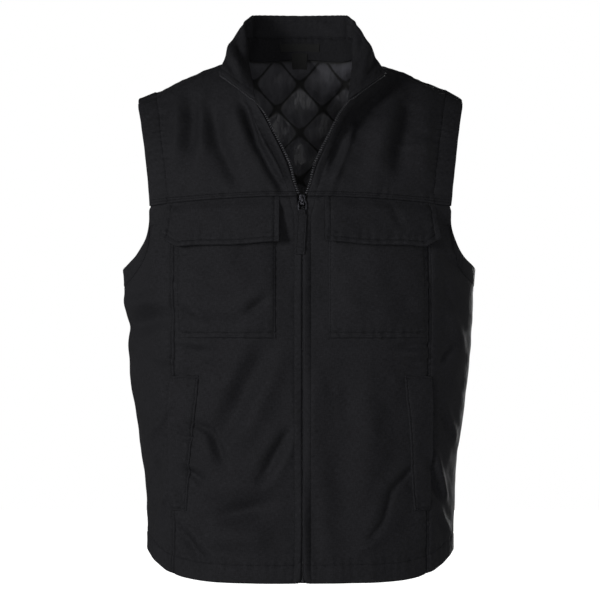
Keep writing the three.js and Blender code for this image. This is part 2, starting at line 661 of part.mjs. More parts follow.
for (const [name, side] of Object.entries(SIDES)) {
  const onChest = (chart) => shoulderPatch(side, chart);
  add(`front_panel_${name}`, shellWall(onChest(frontPanel), evenly(8), seamRows), CANVAS);
  add(`front_yoke_${name}`, shellWall(onChest(frontYoke()), yokeColumns, openRows), CANVAS);
  add(`side_panel_${name}`, shellWall(bodyPatch(side, sidePanel()), sideColumns, seamRows), CANVAS);
  add(`lining_front_${name}`, liningWall(onChest(frontLining()), evenly(7), frontRows), SATIN);
  add(`lining_side_${name}`, liningWall(bodyPatch(side, sideLining()), evenly(12), seamRows), SATIN);
  const facingFoot = facingTop - FACING_THICK;
  const facing = wallOn(onChest(frontFacing), facingColumns, frontRows, facingTop, facingFoot);
  add(`front_facing_${name}`, facing, CANVAS_INSIDE);
  const pocketTop = LAYER_GAP + CHEST_POCKET.thick;
  const pocket = wallOn(onChest(chestPocket), evenly(7), evenly(5), LAYER_GAP, pocketTop);
  add(`chest_pocket_${name}`, pocket, CANVAS);
  const flapFoot = pocketTop + LAYER_GAP;
  const flap = wallOn(onChest(pocketFlap), flapColumns, evenly(3), flapFoot, flapFoot + FLAP.thick);
  add(`pocket_flap_${name}`, flap, CANVAS);
  const welt = wallOn(onChest(handPocketWelt), evenly(2), evenly(7), WELT.gap, WELT.gap + WELT.thick);
  add(`hand_pocket_welt_${name}`, welt, CANVAS);
  add(`zip_tape_${name}`, wallOn(onChest(zipTape), [0, 1], tapeRows, tapeTop, tapeTop - TAPE_THICK), TAPE);
  add(`zip_teeth_${name}`, zipTeeth(side), TOOTH_FINISH);
}
const wholeBack = shoulderPatch(1, backPanel());
add("back_panel", shellWall(wholeBack, backColumns, backRows), CANVAS);
// The lining of the back stops short of the hem.
const liningRows = [(LOWER_SHARE * HEM.depth) / (BENT_SEAM.endZ - HEM.z), ...backRows.slice(1)];
add("lining_back", liningWall(wholeBack, backColumns, liningRows), SATIN);

// The collar and what lies on its inner face are walls set inwards from the collar's outer face.
const NECK_CENTRE = new THREE.Vector3(0, 0, 40);
const inCollar = (at, across, along, depth, thick) =>
  wallOn(freePatch(at), across, along, -depth, -depth - thick, NECK_CENTRE);
const bandDepth = LAYER_GAP + COLLAR_THICK + 2 * LAYER_GAP;
const labelDepth = bandDepth + NECK_BAND.thick + LAYER_GAP;
add("collar", inCollar(collar, evenly(28), evenly(4), LAYER_GAP, COLLAR_THICK), CANVAS);
add("neck_band", inCollar(neckBand, evenly(14), evenly(2), bandDepth, NECK_BAND.thick), CANVAS_INSIDE);
add("neck_label", inCollar(neckLabel, evenly(4), [0, 1], labelDepth, LABEL.thick), LABEL_CLOTH);
add("size_tab", inCollar(sizeTab, evenly(2), [0, 1], labelDepth, SIZE_TAB.thick), LABEL_CLOTH);

const chain = wallOn(freePatch(zipChain), [0, 1], seamRows, CHAIN.depth, CHAIN.depth - CHAIN.thick);
add("zip_chain", chain, TOOTH_FINISH);
add("zip_slider", acrossFront(sliderShape(), SLIDER.width, SLIDER_AT), METAL);
add("pull_ring", pullRing(), METAL);
const [bendFrom, bendTo] = [0.46, 0.54]; // of the strap's run, the part folded round the ring
const tabRows = [
  ...stretch(0, bendFrom, 5),
  ...stretch(bendFrom, bendTo, 8).slice(1),
  ...stretch(bendTo, 1, 5).slice(1),
];
const halfCloth = PULL_TAB.cloth / 2;
add("pull_tab", wallOn(freePatch(pullTab), [0, 1], tabRows, -halfCloth, halfCloth), CANVAS);

export default vest;
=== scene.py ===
# %% [markdown]
# # An insulated work vest
# A black canvas vest keeps the form of the body it was made for, its zip open at the neck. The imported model
# gives the true size and place of every cut panel. In this lesson each panel becomes cloth, with seams that
# dip, rows of stitches, hanging folds and a quilted lining. All shapes are worked out in millimetres on one
# body form, and a mesh is turned into metres as it is made.

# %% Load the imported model
from types import SimpleNamespace as Sizes

import bpy
import numpy as np
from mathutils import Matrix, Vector


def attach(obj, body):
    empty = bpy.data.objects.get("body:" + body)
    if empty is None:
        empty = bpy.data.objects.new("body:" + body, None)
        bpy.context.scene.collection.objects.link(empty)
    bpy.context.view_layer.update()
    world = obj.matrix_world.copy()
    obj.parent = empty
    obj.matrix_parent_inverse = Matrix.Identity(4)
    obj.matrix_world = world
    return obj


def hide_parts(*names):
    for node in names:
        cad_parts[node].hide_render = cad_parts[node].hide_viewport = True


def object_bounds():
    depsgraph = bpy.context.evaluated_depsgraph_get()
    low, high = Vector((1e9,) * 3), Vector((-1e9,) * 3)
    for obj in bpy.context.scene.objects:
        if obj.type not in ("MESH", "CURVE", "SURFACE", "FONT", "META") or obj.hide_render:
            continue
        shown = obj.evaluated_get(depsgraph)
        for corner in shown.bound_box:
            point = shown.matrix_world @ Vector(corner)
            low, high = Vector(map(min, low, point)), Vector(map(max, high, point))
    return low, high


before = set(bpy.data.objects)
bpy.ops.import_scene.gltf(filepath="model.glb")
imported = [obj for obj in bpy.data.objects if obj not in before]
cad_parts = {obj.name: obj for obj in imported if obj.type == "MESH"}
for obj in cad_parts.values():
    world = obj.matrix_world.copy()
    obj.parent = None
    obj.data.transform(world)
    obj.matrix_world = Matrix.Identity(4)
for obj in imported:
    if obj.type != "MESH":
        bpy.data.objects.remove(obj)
cad_box = [list(corner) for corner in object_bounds()]
print("CAD box", np.round(cad_box, 4).tolist())

# %% [markdown]
# ## Camera
# The vest was pictured square on, from the height of its middle, with a long lens. A lens follows from two
# lengths that are easy to judge: how far away the camera stands, and how wide a strip it sees there.

# %% Camera
CAMERA_AWAY = 3.0  # metres in front of the vest's middle plane
SEEN_WIDTH = 0.846  # metres of that plane across the square picture
CAMERA_AT = (0.0004, -CAMERA_AWAY, -0.3243)

camera = bpy.data.objects.new("camera", bpy.data.cameras.new("camera"))
camera.data.lens = camera.data.sensor_width * CAMERA_AWAY / SEEN_WIDTH
camera.location = CAMERA_AT
camera.rotation_euler = (np.pi / 2, 0, 0)
bpy.context.collection.objects.link(camera)
bpy.context.scene.camera = camera
print("lens", round(camera.data.lens, 1), "mm")

# %% [markdown]
# ## From arrays to meshes
# A mesh is a list of points and a list of faces that name them. Numpy makes both as whole arrays, and
# foreach_set hands each array to Blender in one call, which is far quicker than one vertex at a time.

# %% Mesh helpers
MM = 0.001
TINY = 1e-9  # keeps a division by a length of 0 safe


def make_piece(name, points, faces, uv=None, rub=None):
    """An object from points in mm and arrays of faces, one row of corner numbers for each face. uv gives
    a pair in metres for each point. The last array says, from 0 to 1, how worn the canvas is at each point,
    and on the satin how much shade is painted there."""
    mesh = bpy.data.meshes.new(name)
    corners = np.concatenate([rows.ravel() for rows in faces]).astype(np.int32)
    sizes = np.concatenate([np.full(len(rows), rows.shape[1]) for rows in faces]).astype(np.int32)
    mesh.vertices.add(len(points))
    mesh.vertices.foreach_set("co", (points * MM).astype(np.float32).ravel())
    mesh.loops.add(len(corners))
    mesh.loops.foreach_set("vertex_index", corners)
    mesh.polygons.add(len(sizes))
    mesh.polygons.foreach_set("loop_start", np.cumsum(sizes, dtype=np.int32) - sizes)
    mesh.polygons.foreach_set("use_smooth", np.ones(len(sizes), bool))
    if uv is not None:
        layer = mesh.uv_layers.new(name="cloth")
        layer.data.foreach_set("uv", uv[corners].astype(np.float32).ravel())
    if rub is not None:
        mesh.attributes.new("rub", "FLOAT", "POINT").data.foreach_set("value", rub.astype(np.float32))
    mesh.update(calc_edges=True)
    piece = bpy.data.objects.new(name, mesh)
    bpy.context.collection.objects.link(piece)
    return piece


def grid_faces(rows, columns, wrap=False):
    """Quads between neighbouring points of a grid. With wrap the last column joins the first."""
    ids = np.arange(rows * columns).reshape(rows, columns)
    ids = np.hstack([ids, ids[:, :1]]) if wrap else ids
    corners = ids[:-1, :-1], ids[:-1, 1:], ids[1:, 1:], ids[1:, :-1]
    return np.stack([part.ravel() for part in corners], -1)


def capped(rings, sides):
    """Faces of a tube of rings, with a flat cap at each end."""
    cap = np.arange(sides)[None]
    return [grid_faces(rings, sides, wrap=True), cap[:, ::-1], cap + (rings - 1) * sides]


def copied(faces, count, points):
    """Faces of many copies of a mesh that has so many points."""
    first = np.arange(count)[:, None, None] * points
    return [(part + first).reshape(-1, part.shape[1]) for part in faces]


def run_of(points):
    """How far along a line each of its points lies."""
    return np.concatenate([[0], np.cumsum(np.linalg.norm(np.diff(points, axis=0), axis=-1))])


def unit(vectors):
    """Each vector divided by its length."""
    return vectors / np.maximum(np.linalg.norm(vectors, axis=-1, keepdims=True), TINY)


print("a grid of 3 by 3 points has", len(grid_faces(3, 3)), "quads")

# %% [markdown]
# ## The body form
# Every panel lies on one smooth form: a rounded section that changes with height, and over the shoulders
# a roll from front to back. Short tables give the section's sizes, and curves run smoothly through
# their rows. Building all panels on the same form is what makes neighbouring panels meet at their seams.


# %% Tables and curves
def table(columns, *rows):
    """A short table: for each named column an array with its value in each row."""
    return dict(zip(columns.split(), np.array(rows, float).T))


def lerp(low, high, share):
    """The value a share of the way from low to high."""
    return low + (high - low) * share


def smooth(value, low, high):
    """0 below low, 1 above high and an S curve, 3u^2 - 2u^3, between."""
    share = np.clip((value - low) / (high - low), 0, 1)
    return share * share * (3 - 2 * share)


def curve_at(rows, key, column, at):
    """A cubic between neighbouring rows: an S curve from one value to the next, bent by
    span * u (1 - u) ((1 - u) slope before - u slope after), where slopes come from the rows around."""
    keys, values = rows[key], rows[column]
    before = np.maximum(np.arange(len(keys)) - 1, 0)
    after = np.minimum(np.arange(len(keys)) + 1, len(keys) - 1)
    slopes = (values[after] - values[before]) / (keys[after] - keys[before])
    inside = np.clip(at, keys[0], keys[-1])
    i = np.clip(np.searchsorted(keys, inside) - 1, 0, len(keys) - 2)
    span = keys[i + 1] - keys[i]
    u = (inside - keys[i]) / span
    bend = u * (1 - u) * ((1 - u) * slopes[i] - u * slopes[i + 1])
    return lerp(values[i], values[i + 1], u * u * (3 - 2 * u)) + span * bend


FORM = table(
    "z half front back",
    (-760, 213, 119, 107),
    (-720, 214, 118, 106),
    (-600, 217.5, 115, 100),
    (-500, 227.5, 116, 97),
    (-400, 240, 120, 102),
    (-290, 248, 124, 112),
    (-170, 261, 120, 116),
    (-40, 262, 112, 110),
    (60, 262, 108, 106),
)
print("half width at the chest", round(float(curve_at(FORM, "z", "half", -250)), 1), "mm")

# %% [markdown]
# Over the shoulders the cloth rolls from front to back round a sloping ridge. A height alone can't name a
# point there, because the top is level, but the angle of the roll can. It is negative on the front.

# %% Ridge and roll
RIDGE = Sizes(top=59, slope=0.435, round=50)
ROLL_FRONT, ROLL_BACK = 190, 150


def ridge(x):
    """Height of the shoulder ridge: a hyperbola, top - slope * hypot(x, round)."""
    return RIDGE.top - RIDGE.slope * np.hypot(x, RIDGE.round)


def drop_of(roll):
    """How far a roll angle lies below the ridge: 1 - cos, and past a quarter turn straight down."""
    turn = np.abs(roll)
    share = np.where(turn < np.pi / 2, 1 - np.cos(turn), 1 + turn - np.pi / 2)
    return share * np.where(np.less(roll, 0), ROLL_FRONT, ROLL_BACK)


def roll_at(x, z, front):
    """The roll angle at a height, the other way round: arc cosine, then straight."""
    drop = np.maximum((ridge(x) - z) / np.where(front, ROLL_FRONT, ROLL_BACK), 0)
    turn = np.where(drop < 1, np.arccos(1 - np.minimum(drop, 1)), np.pi / 2 + drop - 1)
    return np.where(front, -turn, turn)


print("ridge over the neck at", round(float(ridge(0)), 1), "mm")

# %% [markdown]
# A point of the form is found from how far out it lies and its roll angle. Lower down, where the wall is
# plumb, it is handier to name a point by its angle round the body and its height, so there are two ways in
# and both give the same surface.

# %% Points of the form
ROUNDNESS = 2.3  # power of the superellipse that the body's sections follow
FRONT_SHIFT = 3.6  # the front hangs this far to the wearer's left
OPENING = table(
    "z x",
    (-708.5, 2.4), (-680, 1.2), (-640, 1), (-210, 1), (-195, 5.4), (-178, 8),
    (-139, 21.5), (-117, 31.5), (-100, 40), (-79, 50), (-65, 58), (-52, 66), (-23, 71), (14, 78),
)
NECK_END_Z = -52
EDGE_LIFT = Sizes(height=18, reach=16, start=-178, full=-60, end=12)


def opening_at(z):
    """How far the zip's edge lies from the middle, by straight lines through the table."""
    return np.interp(z, OPENING["z"], OPENING["x"])


def rounded(share):
    """The height of a superellipse at a share of its half width."""
    return (1 - np.clip(share, 0, 1) ** ROUNDNESS) ** (1 / ROUNDNESS)


def points_of(x, y, z):
    """Points from their three coordinates, each an array or one number for all."""
    return np.stack(np.broadcast_arrays(x, y, z), -1)


def over_shoulder(x, roll):
    """A point of the form. Its depth is the section's depth times the sine of the roll and the superellipse,
    and beside the opening the cloth stands forward, fading away from the edge as e^-(distance / reach)."""
    front = np.less(roll, 0)
    z = ridge(x) - drop_of(roll)
    out = np.minimum(np.abs(x) / curve_at(FORM, "z", "half", z), 1)
    share = np.sin(np.minimum(np.abs(roll), np.pi / 2))
    depth = np.where(front, curve_at(FORM, "z", "front", z), curve_at(FORM, "z", "back", z))
    y = depth * share * rounded(out)
    rise = smooth(z, EDGE_LIFT.start, EDGE_LIFT.full) * (1 - smooth(z, NECK_END_Z, EDGE_LIFT.end))
    lift = EDGE_LIFT.height * rise * np.exp(-np.abs(np.abs(x) - opening_at(z)) / EDGE_LIFT.reach)
    shift = FRONT_SHIFT * share * (1 - out**2)
    return points_of(np.where(front, x + shift, x), np.where(front, -y - lift, y), z)


def out_at(angle, z):
    """How far out the wall is at an angle round the body, 0 in front and pi at the back."""
    return curve_at(FORM, "z", "half", z) * np.abs(np.sin(angle)) ** (2 / ROUNDNESS)


def angle_at(x, z):
    """The angle round the body, from 0 to a quarter turn, at a distance from the middle."""
    out = np.minimum(np.abs(x) / curve_at(FORM, "z", "half", z), 1)
    return np.arcsin(out ** (ROUNDNESS / 2))


def round_body(side, angle, z):
    """The same point from the angle round the body and the height, on the wearer's left or right."""
    x = side * out_at(angle, z)
    return over_shoulder(x, roll_at(x, z, np.cos(angle) > 0))


print("front of the chest at y", np.round(over_shoulder(0.0, roll_at(0.0, -250, True))[1], 1), "mm")

# %% [markdown]
# ## How the vest is cut
# The shell has a back, two sides, two fronts and two yokes. Each piece is a patch with four
# edges, and an edge is a seam, the hem, the opening or part of an armhole. Edges are curves on the form,
# so the same seam curve can bound the panel on either side of it with half a millimetre left between.

# %% Seam lines
SEAM_GAP = 0.5
HALF_GAP = SEAM_GAP / 2
SIDE_SEAM_X = 174
SHOULDER_SEAM = -0.2  # as a roll angle
YOKE = Sizes(z=-183.5, drop=11.5, at_x=209)
HEM = Sizes(z=-708.5, rise=34, power=5.8, depth=26)
ARMHOLE = Sizes(mid=-197, depth=84, tip_x=228, front=0.682, back=0.66, tip=0.546)
BEND_Z, BENT_END_Z = -380, -222  # where the back side seam starts to bend, and where it meets the armhole
NECK = table(
    "at x roll",
    (-0.24, -38, 0.405), (0, 0, 0.45), (0.24, 38, 0.405), (0.42, 63, 0.28), (0.55, 75, 0.09),
    (0.7, 77.5, -0.2), (0.82, 75.5, -0.45), (0.91, 71, -0.7), (1, 66, -0.915),
)
NECK_SHOULDER = 0.7  # of the neck seam, from the centre back to the shoulder
TIP_Z = ridge(ARMHOLE.tip_x) - drop_of(SHOULDER_SEAM)


def hem_at(angle):
    """The hem rises at the sides as a high power of the sine of the angle round the body."""
    return HEM.z + HEM.rise * np.abs(np.sin(angle)) ** HEM.power


def hem_under(x):
    """The hem's height at a distance from the middle."""
    return hem_at(angle_at(x, HEM.z))


def yoke_at(x):
    """The yoke seam is a shallow parabola that falls towards the armholes."""
    return YOKE.z - YOKE.drop * (x / YOKE.at_x) ** 2


def armhole_x(z, front):
    """How far out the armhole's edge lies: an angle that narrows as a square towards the shoulder and as
    a superellipse towards the underarm."""
    spread = ARMHOLE.front if front else ARMHOLE.back
    up = (z - ARMHOLE.mid) / (TIP_Z - ARMHOLE.mid)
    down = (ARMHOLE.mid - z) / ARMHOLE.depth
    swing = np.where(up > 0, lerp(spread, ARMHOLE.tip, up * up), spread * rounded(down))
    return out_at(np.pi / 2 - swing, z)


def scoop(share, front_z, back_z):
    """The underarm as angle and height, half a superellipse from a height on the front to one on the back."""
    def turn_at(z):
        """The superellipse's angle at a height."""
        return np.arcsin(np.clip((ARMHOLE.mid - z) / ARMHOLE.depth, 0, 1) ** (ROUNDNESS / 2))

    turn = lerp(turn_at(front_z), np.pi - turn_at(back_z), share)
    spread = np.where(turn < np.pi / 2, ARMHOLE.front, -ARMHOLE.back)
    swing = spread * np.abs(np.cos(turn)) ** (2 / ROUNDNESS)
    return np.pi / 2 - swing, ARMHOLE.mid - ARMHOLE.depth * np.abs(np.sin(turn)) ** (2 / ROUNDNESS)


def bent_seam_x(z, front):
    """A seam that runs straight up and then bends out to the armhole as a square."""
    up = np.clip((z - BEND_Z) / (BENT_END_Z - BEND_Z), 0, 1)
    return lerp(SIDE_SEAM_X, armhole_x(BENT_END_Z, front), up * up)


def neck_at(at):
    """The neck seam, from the centre back at 0 to the zip's edge at 1."""
    return curve_at(NECK, "at", "x", at), curve_at(NECK, "at", "roll", at)


def on_front(x, z):
    """Chart coordinates of a point of the front: distance from the middle and roll angle."""
    return x, roll_at(x, z, True)


print("shoulder tip at", ARMHOLE.tip_x, round(float(TIP_Z), 1), "mm")

# %% [markdown]
# Given its four edges, the inside of a patch can be filled by Coons' rule: blend bottom and top, blend left
# and right, add the two and take away the blend of the four corners. It needs no grid of control points.


# %% Charts of the shell
def spanned(bottom, top, left, right):
    """A chart between four edges by Coons' rule. The left and right edges are drawn to the corners of the
    bottom and the top, by an amount that changes evenly along them."""
    low, high = (bottom(0.0), bottom(1.0)), (top(0.0), top(1.0))
    sides = (left, left(0.0), left(1.0)), (right, right(0.0), right(1.0))

    def chart(s, t):
        """Both coordinates of a point, each blended from the edges."""
        made = []
        for k in (0, 1):
            drawn = [
                edge(t)[k] + lerp(low[i][k] - first[k], high[i][k] - last[k], t)
                for i, (edge, first, last) in enumerate(sides)
            ]
            corners = lerp(lerp(low[0][k], low[1][k], s), lerp(high[0][k], high[1][k], s), t)
            made.append(lerp(bottom(s)[k], top(s)[k], t) + lerp(drawn[0], drawn[1], s) - corners)
        return made

    return chart


square = spanned(lambda s: (s, 0), lambda s: (s, 1), lambda t: (0, t), lambda t: (1, t))
print("a square's middle is at", square(0.5, 0.5))

# %% [markdown]
# The fronts are cut straight, so a front panel needs only two blends. A yoke's edges all differ: the seam
# below it, the opened edge and neck seam, the armhole and the shoulder seam. It is spanned between them.

# %% Charts of the fronts
LOWER_SHARE = 0.62  # of a tall panel's edge, below the yoke or the armhole
EDGE_SHARE = 0.7  # of the opening above the yoke, below the neck seam
YOKE_SHARE = 0.12  # of the side panel's top edge, along the yoke seam
YOKE_CORNER_Z = yoke_at(YOKE.at_x)
CORNER = Sizes(rise=4.5, reach=3.5)


def front_panel(s, t):
    """Straight across from the opening to the side seam, and straight up from the hem to the yoke seam. The
    hem's corner by the zip is rounded off, as e^-(distance / reach)^2."""
    out_x = SIDE_SEAM_X - HALF_GAP
    corner = CORNER.rise * np.exp(-((out_x * s / CORNER.reach) ** 2))
    z = lerp(hem_under(out_x * s) + corner, yoke_at(out_x * s) - HALF_GAP, t)
    return on_front(lerp(opening_at(z), out_x, s), z)


def open_edge(share):
    """The open edge above the yoke seam, then the neck seam up to the shoulder."""
    z = lerp(YOKE.z + HALF_GAP, NECK_END_Z, np.minimum(share / EDGE_SHARE, 1))
    on_neck = neck_at(lerp(1, NECK_SHOULDER, (share - EDGE_SHARE) / (1 - EDGE_SHARE)))
    below_neck = on_front(opening_at(z), z)
    return [np.where(np.greater(share, EDGE_SHARE), *pair) for pair in zip(on_neck, below_neck)]


def front_yoke():
    """From the yoke seam to the shoulder seam, between the opened front edge and the armhole."""
    low_z = YOKE_CORNER_Z + HALF_GAP
    ends = open_edge(0.0)[0], armhole_x(low_z, True)
    return spanned(
        bottom=lambda s: on_front(lerp(*ends, s), yoke_at(lerp(*ends, s)) + HALF_GAP),
        top=lambda s: (lerp(neck_at(NECK_SHOULDER)[0], ARMHOLE.tip_x, s), SHOULDER_SEAM),
        left=open_edge,
        right=lambda t: on_front(armhole_x(lerp(low_z, TIP_Z, t), True), lerp(low_z, TIP_Z, t)),
    )


print("corner of the yoke at", round(YOKE_CORNER_Z, 1), "mm")

# %% [markdown]
# The side and the back could be one piece, but the real vest has a seam between them that bends out to the
# armhole. Both panels follow the same bent curve, one from each side.


# %% Chart of the sides
def side_panel():
    """Round the side in angle and height, with the end of the yoke seam and the underarm as its top."""
    front_x = SIDE_SEAM_X + HALF_GAP
    corner_z = YOKE_CORNER_Z - HALF_GAP
    low = angle_at(front_x, HEM.z), np.pi - angle_at(front_x, HEM.z)

    def top(s):
        """Out along the yoke seam, then round under the arm."""
        x = lerp(front_x, armhole_x(corner_z, True), np.minimum(s / YOKE_SHARE, 1))
        z = yoke_at(x) - HALF_GAP
        under_arm = scoop(np.maximum(s - YOKE_SHARE, 0) / (1 - YOKE_SHARE), corner_z, BENT_END_Z)
        return [np.where(np.less(s, YOKE_SHARE), *pair) for pair in zip((angle_at(x, z), z), under_arm)]

    def left(t):
        """Up the front side seam."""
        z = lerp(hem_at(low[0]), yoke_at(front_x) - HALF_GAP, t)
        return angle_at(front_x, z), z

    def right(t):
        """Up the bent seam at the back."""
        z = lerp(hem_at(low[1]), BENT_END_Z, t)
        return np.pi - angle_at(bent_seam_x(z, False) + HALF_GAP, z), z

    return spanned(lambda s: (lerp(*low, s), hem_at(lerp(*low, s))), top, left, right)


print("the side's yoke corner at", np.round(round_body(1, *side_panel()(0.0, 1.0)), 1), "mm")

# %% [markdown]
# The back laps over the shoulders, so its chart is in distance and roll. The neck seam and both shoulder
# seams are its one top edge, and its side edges are drawn over the ridge to meet them.

# %% Chart of the back
FORM_DEPTH = 110  # at the shoulder, to turn a gap into a roll angle
NECK_SPAN = 0.42  # of the back's top edge, from the centre to each end of the neck seam


def seam_and_armhole(share, front, low_z, inset):
    """Up the bent seam, then up the armhole to the shoulder."""
    lower = np.less(share, LOWER_SHARE)
    past = np.maximum(share - LOWER_SHARE, 0) / (1 - LOWER_SHARE)
    z = np.where(lower, lerp(low_z, BENT_END_Z, share / LOWER_SHARE), lerp(BENT_END_Z, TIP_Z, past))
    x = np.where(lower, bent_seam_x(z, front), armhole_x(z, front)) - inset
    return x, roll_at(x, z, front)


def back_panel():
    """The whole back, which laps over the shoulder ridge to the shoulder seams."""
    seam_x = SIDE_SEAM_X - HALF_GAP
    lap = SHOULDER_SEAM + SEAM_GAP / FORM_DEPTH
    over_ridge = roll_at(ARMHOLE.tip_x, TIP_Z, False) - lap
    neck_end = NECK_SHOULDER - SEAM_GAP / FORM_DEPTH / 2

    def top(s):
        """The neck seam in the middle, with a shoulder seam to either side."""
        reach = np.abs(2 * s - 1)
        past = (reach - NECK_SPAN) / (1 - NECK_SPAN)
        on_neck = neck_at(reach / NECK_SPAN * neck_end)
        x = lerp(neck_at(neck_end)[0], ARMHOLE.tip_x - HALF_GAP, past)
        return np.sign(2 * s - 1) * np.where(past < 0, on_neck[0], x), np.where(past < 0, on_neck[1], lap)

    def edge(side):
        """A side edge, which is drawn over the ridge as a square towards the shoulder."""
        def along(t):
            """Up the bent seam and the armhole."""
            x, roll = seam_and_armhole(t, False, hem_under(seam_x), HALF_GAP)
            up = np.maximum(t - LOWER_SHARE, 0) / (1 - LOWER_SHARE)
            return side * x, roll - over_ridge * up * up
        return along

    def bottom(s):
        """Along the hem."""
        x = lerp(-seam_x, seam_x, s)
        return x, roll_at(x, hem_under(x), False)

    return spanned(bottom, top, edge(-1), edge(1))


print("the back's hem corner at", np.round(over_shoulder(*back_panel()(0.0, 0.0)), 1), "mm")

# %% [markdown]
# ## A grid that knows its edges
# An even grid would cut across the stitch lines. Here grid lines are crowded along each edge at set
# distances in millimetres, so a stitch line is simply one line of the grid, and every point knows how far it
# lies from all four edges. Seams, puckers and stitches can then be written as functions of those distances.

# %% Grid lines
EDGE_LINES = (0, 0.6, 1.3, 2.2, 3.4, 5)
BESIDE_STITCH = np.array((-1.5, -0.75, 0, 0.75, 1.5))
CLOSEST = 0.4  # mm between grid lines


def marks(stitches):
    """Distances of grid lines from an edge: close beside the edge and beside each stitch line."""
    exact = np.concatenate([[0.0], np.asarray(stitches, float)])
    near = np.concatenate([EDGE_LINES, *(at + BESIDE_STITCH for at in stitches)])
    near = near[np.abs(near[:, None] - exact).min(1) > CLOSEST]
    lines = np.sort(np.concatenate([exact, near]))
    keep = np.concatenate([[True], np.diff(lines) > CLOSEST]) | np.isin(lines, exact)
    return lines[keep]


def crowd(lengths, start, end, step):
    """Shares of the way across strips of several lengths: set distances at both ends, even steps between."""
    start, end = marks(start), marks(end)[::-1]
    room = lengths[:, None] - start[-1] - end[0]
    count = max(int(room.mean() / step), 2)
    between = start[-1] + room * np.linspace(0, 1, count + 1)[1:-1]
    ends = np.broadcast_to(start, (len(lengths), len(start))), lengths[:, None] - end
    return np.hstack([ends[0], between, ends[1]]) / lengths[:, None]


def sample(rows, at):
    """Rows of an array read at shares from 0 to 1 of its height, by straight lines."""
    place = at * (len(rows) - 1)
    i = np.clip(place.astype(int), 0, len(rows) - 2)
    return lerp(rows[i], rows[i + 1], (place - i)[:, None])


print("grid lines from an edge with one row of stitches:", marks((3,)), "mm")

# %% [markdown]
# One class does this for every piece of cloth. It measures the patch on an even grid first, then crowds the
# lines, and keeps the flat size and area that the cloth has to be cut to.

# %% Panels
EDGES = ("left", "right", "low", "high")
BODY_CENTRE = (0, 0, -150)
EVEN_LINES = 61  # of the first grid, which only measures


class Panel:
    """A grid on a patch: points, normals, and how far each point lies from the left, right, low and high
    edge. Normals are the cross product of two small steps on the surface, turned away from a centre."""

    def __init__(self, place, chart, nudge, step, centre=BODY_CENTRE, **stitches):
        """Lays the grid. Each edge may have one or more rows of stitches, given as distances from it."""
        self.rows = {edge: np.atleast_1d(stitches.get(edge, ())) for edge in EDGES}
        share = np.linspace(0, 1, EVEN_LINES)
        coarse = place(*chart(share[None, :], share[:, None]))
        widths = np.linalg.norm(np.diff(coarse, axis=1), axis=-1).sum(1)
        heights = np.linalg.norm(np.diff(coarse, axis=0), axis=-1).sum(0)
        across = crowd(widths, self.rows["left"], self.rows["right"], step)
        along = crowd(heights, self.rows["low"], self.rows["high"], step)
        self.s, self.t = sample(across, along.mean(0)), sample(along, across.mean(0)).T
        wide = sample(widths[:, None], along.mean(0))
        tall = sample(heights[:, None], across.mean(0)).T
        self.left, self.right = self.s * wide, (1 - self.s) * wide
        self.low, self.high = self.t * tall, (1 - self.t) * tall
        a, b = chart(self.s, self.t)
        self.points = place(a, b)
        slope_a = place(a + nudge[0], b) - place(a - nudge[0], b)
        slope_b = place(a, b + nudge[1]) - place(a, b - nudge[1])
        normals = unit(np.cross(slope_a, slope_b))
        self.normals = normals * np.sign(np.sum(normals * (self.points - centre)))
        self.uv = np.stack([self.left, self.low], -1) * MM
        sides = np.cross(np.diff(coarse, axis=1)[:-1], np.diff(coarse, axis=0)[:, :-1])
        self.flat = (widths.max() * MM, heights.max() * MM)
        self.area = np.linalg.norm(sides, axis=-1).sum() * MM**2
        self.top = self.points

    def raised(self, height):
        """The grid's points moved along their normals."""
        return self.points + self.normals * np.broadcast_to(height, self.s.shape)[..., None]

    def beside(self, edge):
        """How far each point lies from an edge, and how far along it."""
        return getattr(self, edge), self.low if edge in ("left", "right") else self.left

    def lines(self, start, end, *edges):
        """Grid lines under the edges' rows of stitches: points and normals, less a length at either end."""
        made = []
        for edge, at in ((edge, at) for edge in edges for at in self.rows[edge]):
            index = int(np.abs(marks(self.rows[edge]) - at).argmin())
            index = index if edge in ("left", "low") else -1 - index
            pick = np.s_[:, index] if edge in ("left", "right") else np.s_[index, :]
            run = run_of(self.top[pick])
            kept = (run >= start) & (run <= run[-1] - end)
            made.append((self.top[pick][kept], self.normals[pick][kept]))
        return made


print("edges of a panel:", *EDGES)

# %% [markdown]
# The form's two ways in make two kinds of panels. Each says how a chart's numbers become points, and how
# small a step measures a slope.

# %% Panels on the form
ALONG_SHOULDER = (0.5, 0.004)  # small steps in mm and in roll angle, to measure slopes
ROUND_BODY = (0.004, 0.5)


def on_shoulder(side, chart, step, **stitches):
    """A panel on the form over the shoulder, on the wearer's left at +1 or right at -1."""
    return Panel(lambda x, roll: over_shoulder(side * x, roll), chart, ALONG_SHOULDER, step, **stitches)


def on_body(side, chart, step, **stitches):
    """A panel on the form round the body, on either side."""
    return Panel(lambda angle, z: round_body(side, angle, z), chart, ROUND_BODY, step, **stitches)


TRIAL_STEP = 12  # mm
print("front panel flat size", np.round(on_shoulder(1, front_panel, TRIAL_STEP).flat, 3), "m")

# %% [markdown]
# A cloth piece is a closed wall: an outer sheet, an inner sheet and a rim. One extra row of points bulges
# round the rim, because a folded edge is round and catches the light as a soft line.

# %% Closed walls
RIM_BULGE = 0.35  # of the thickness


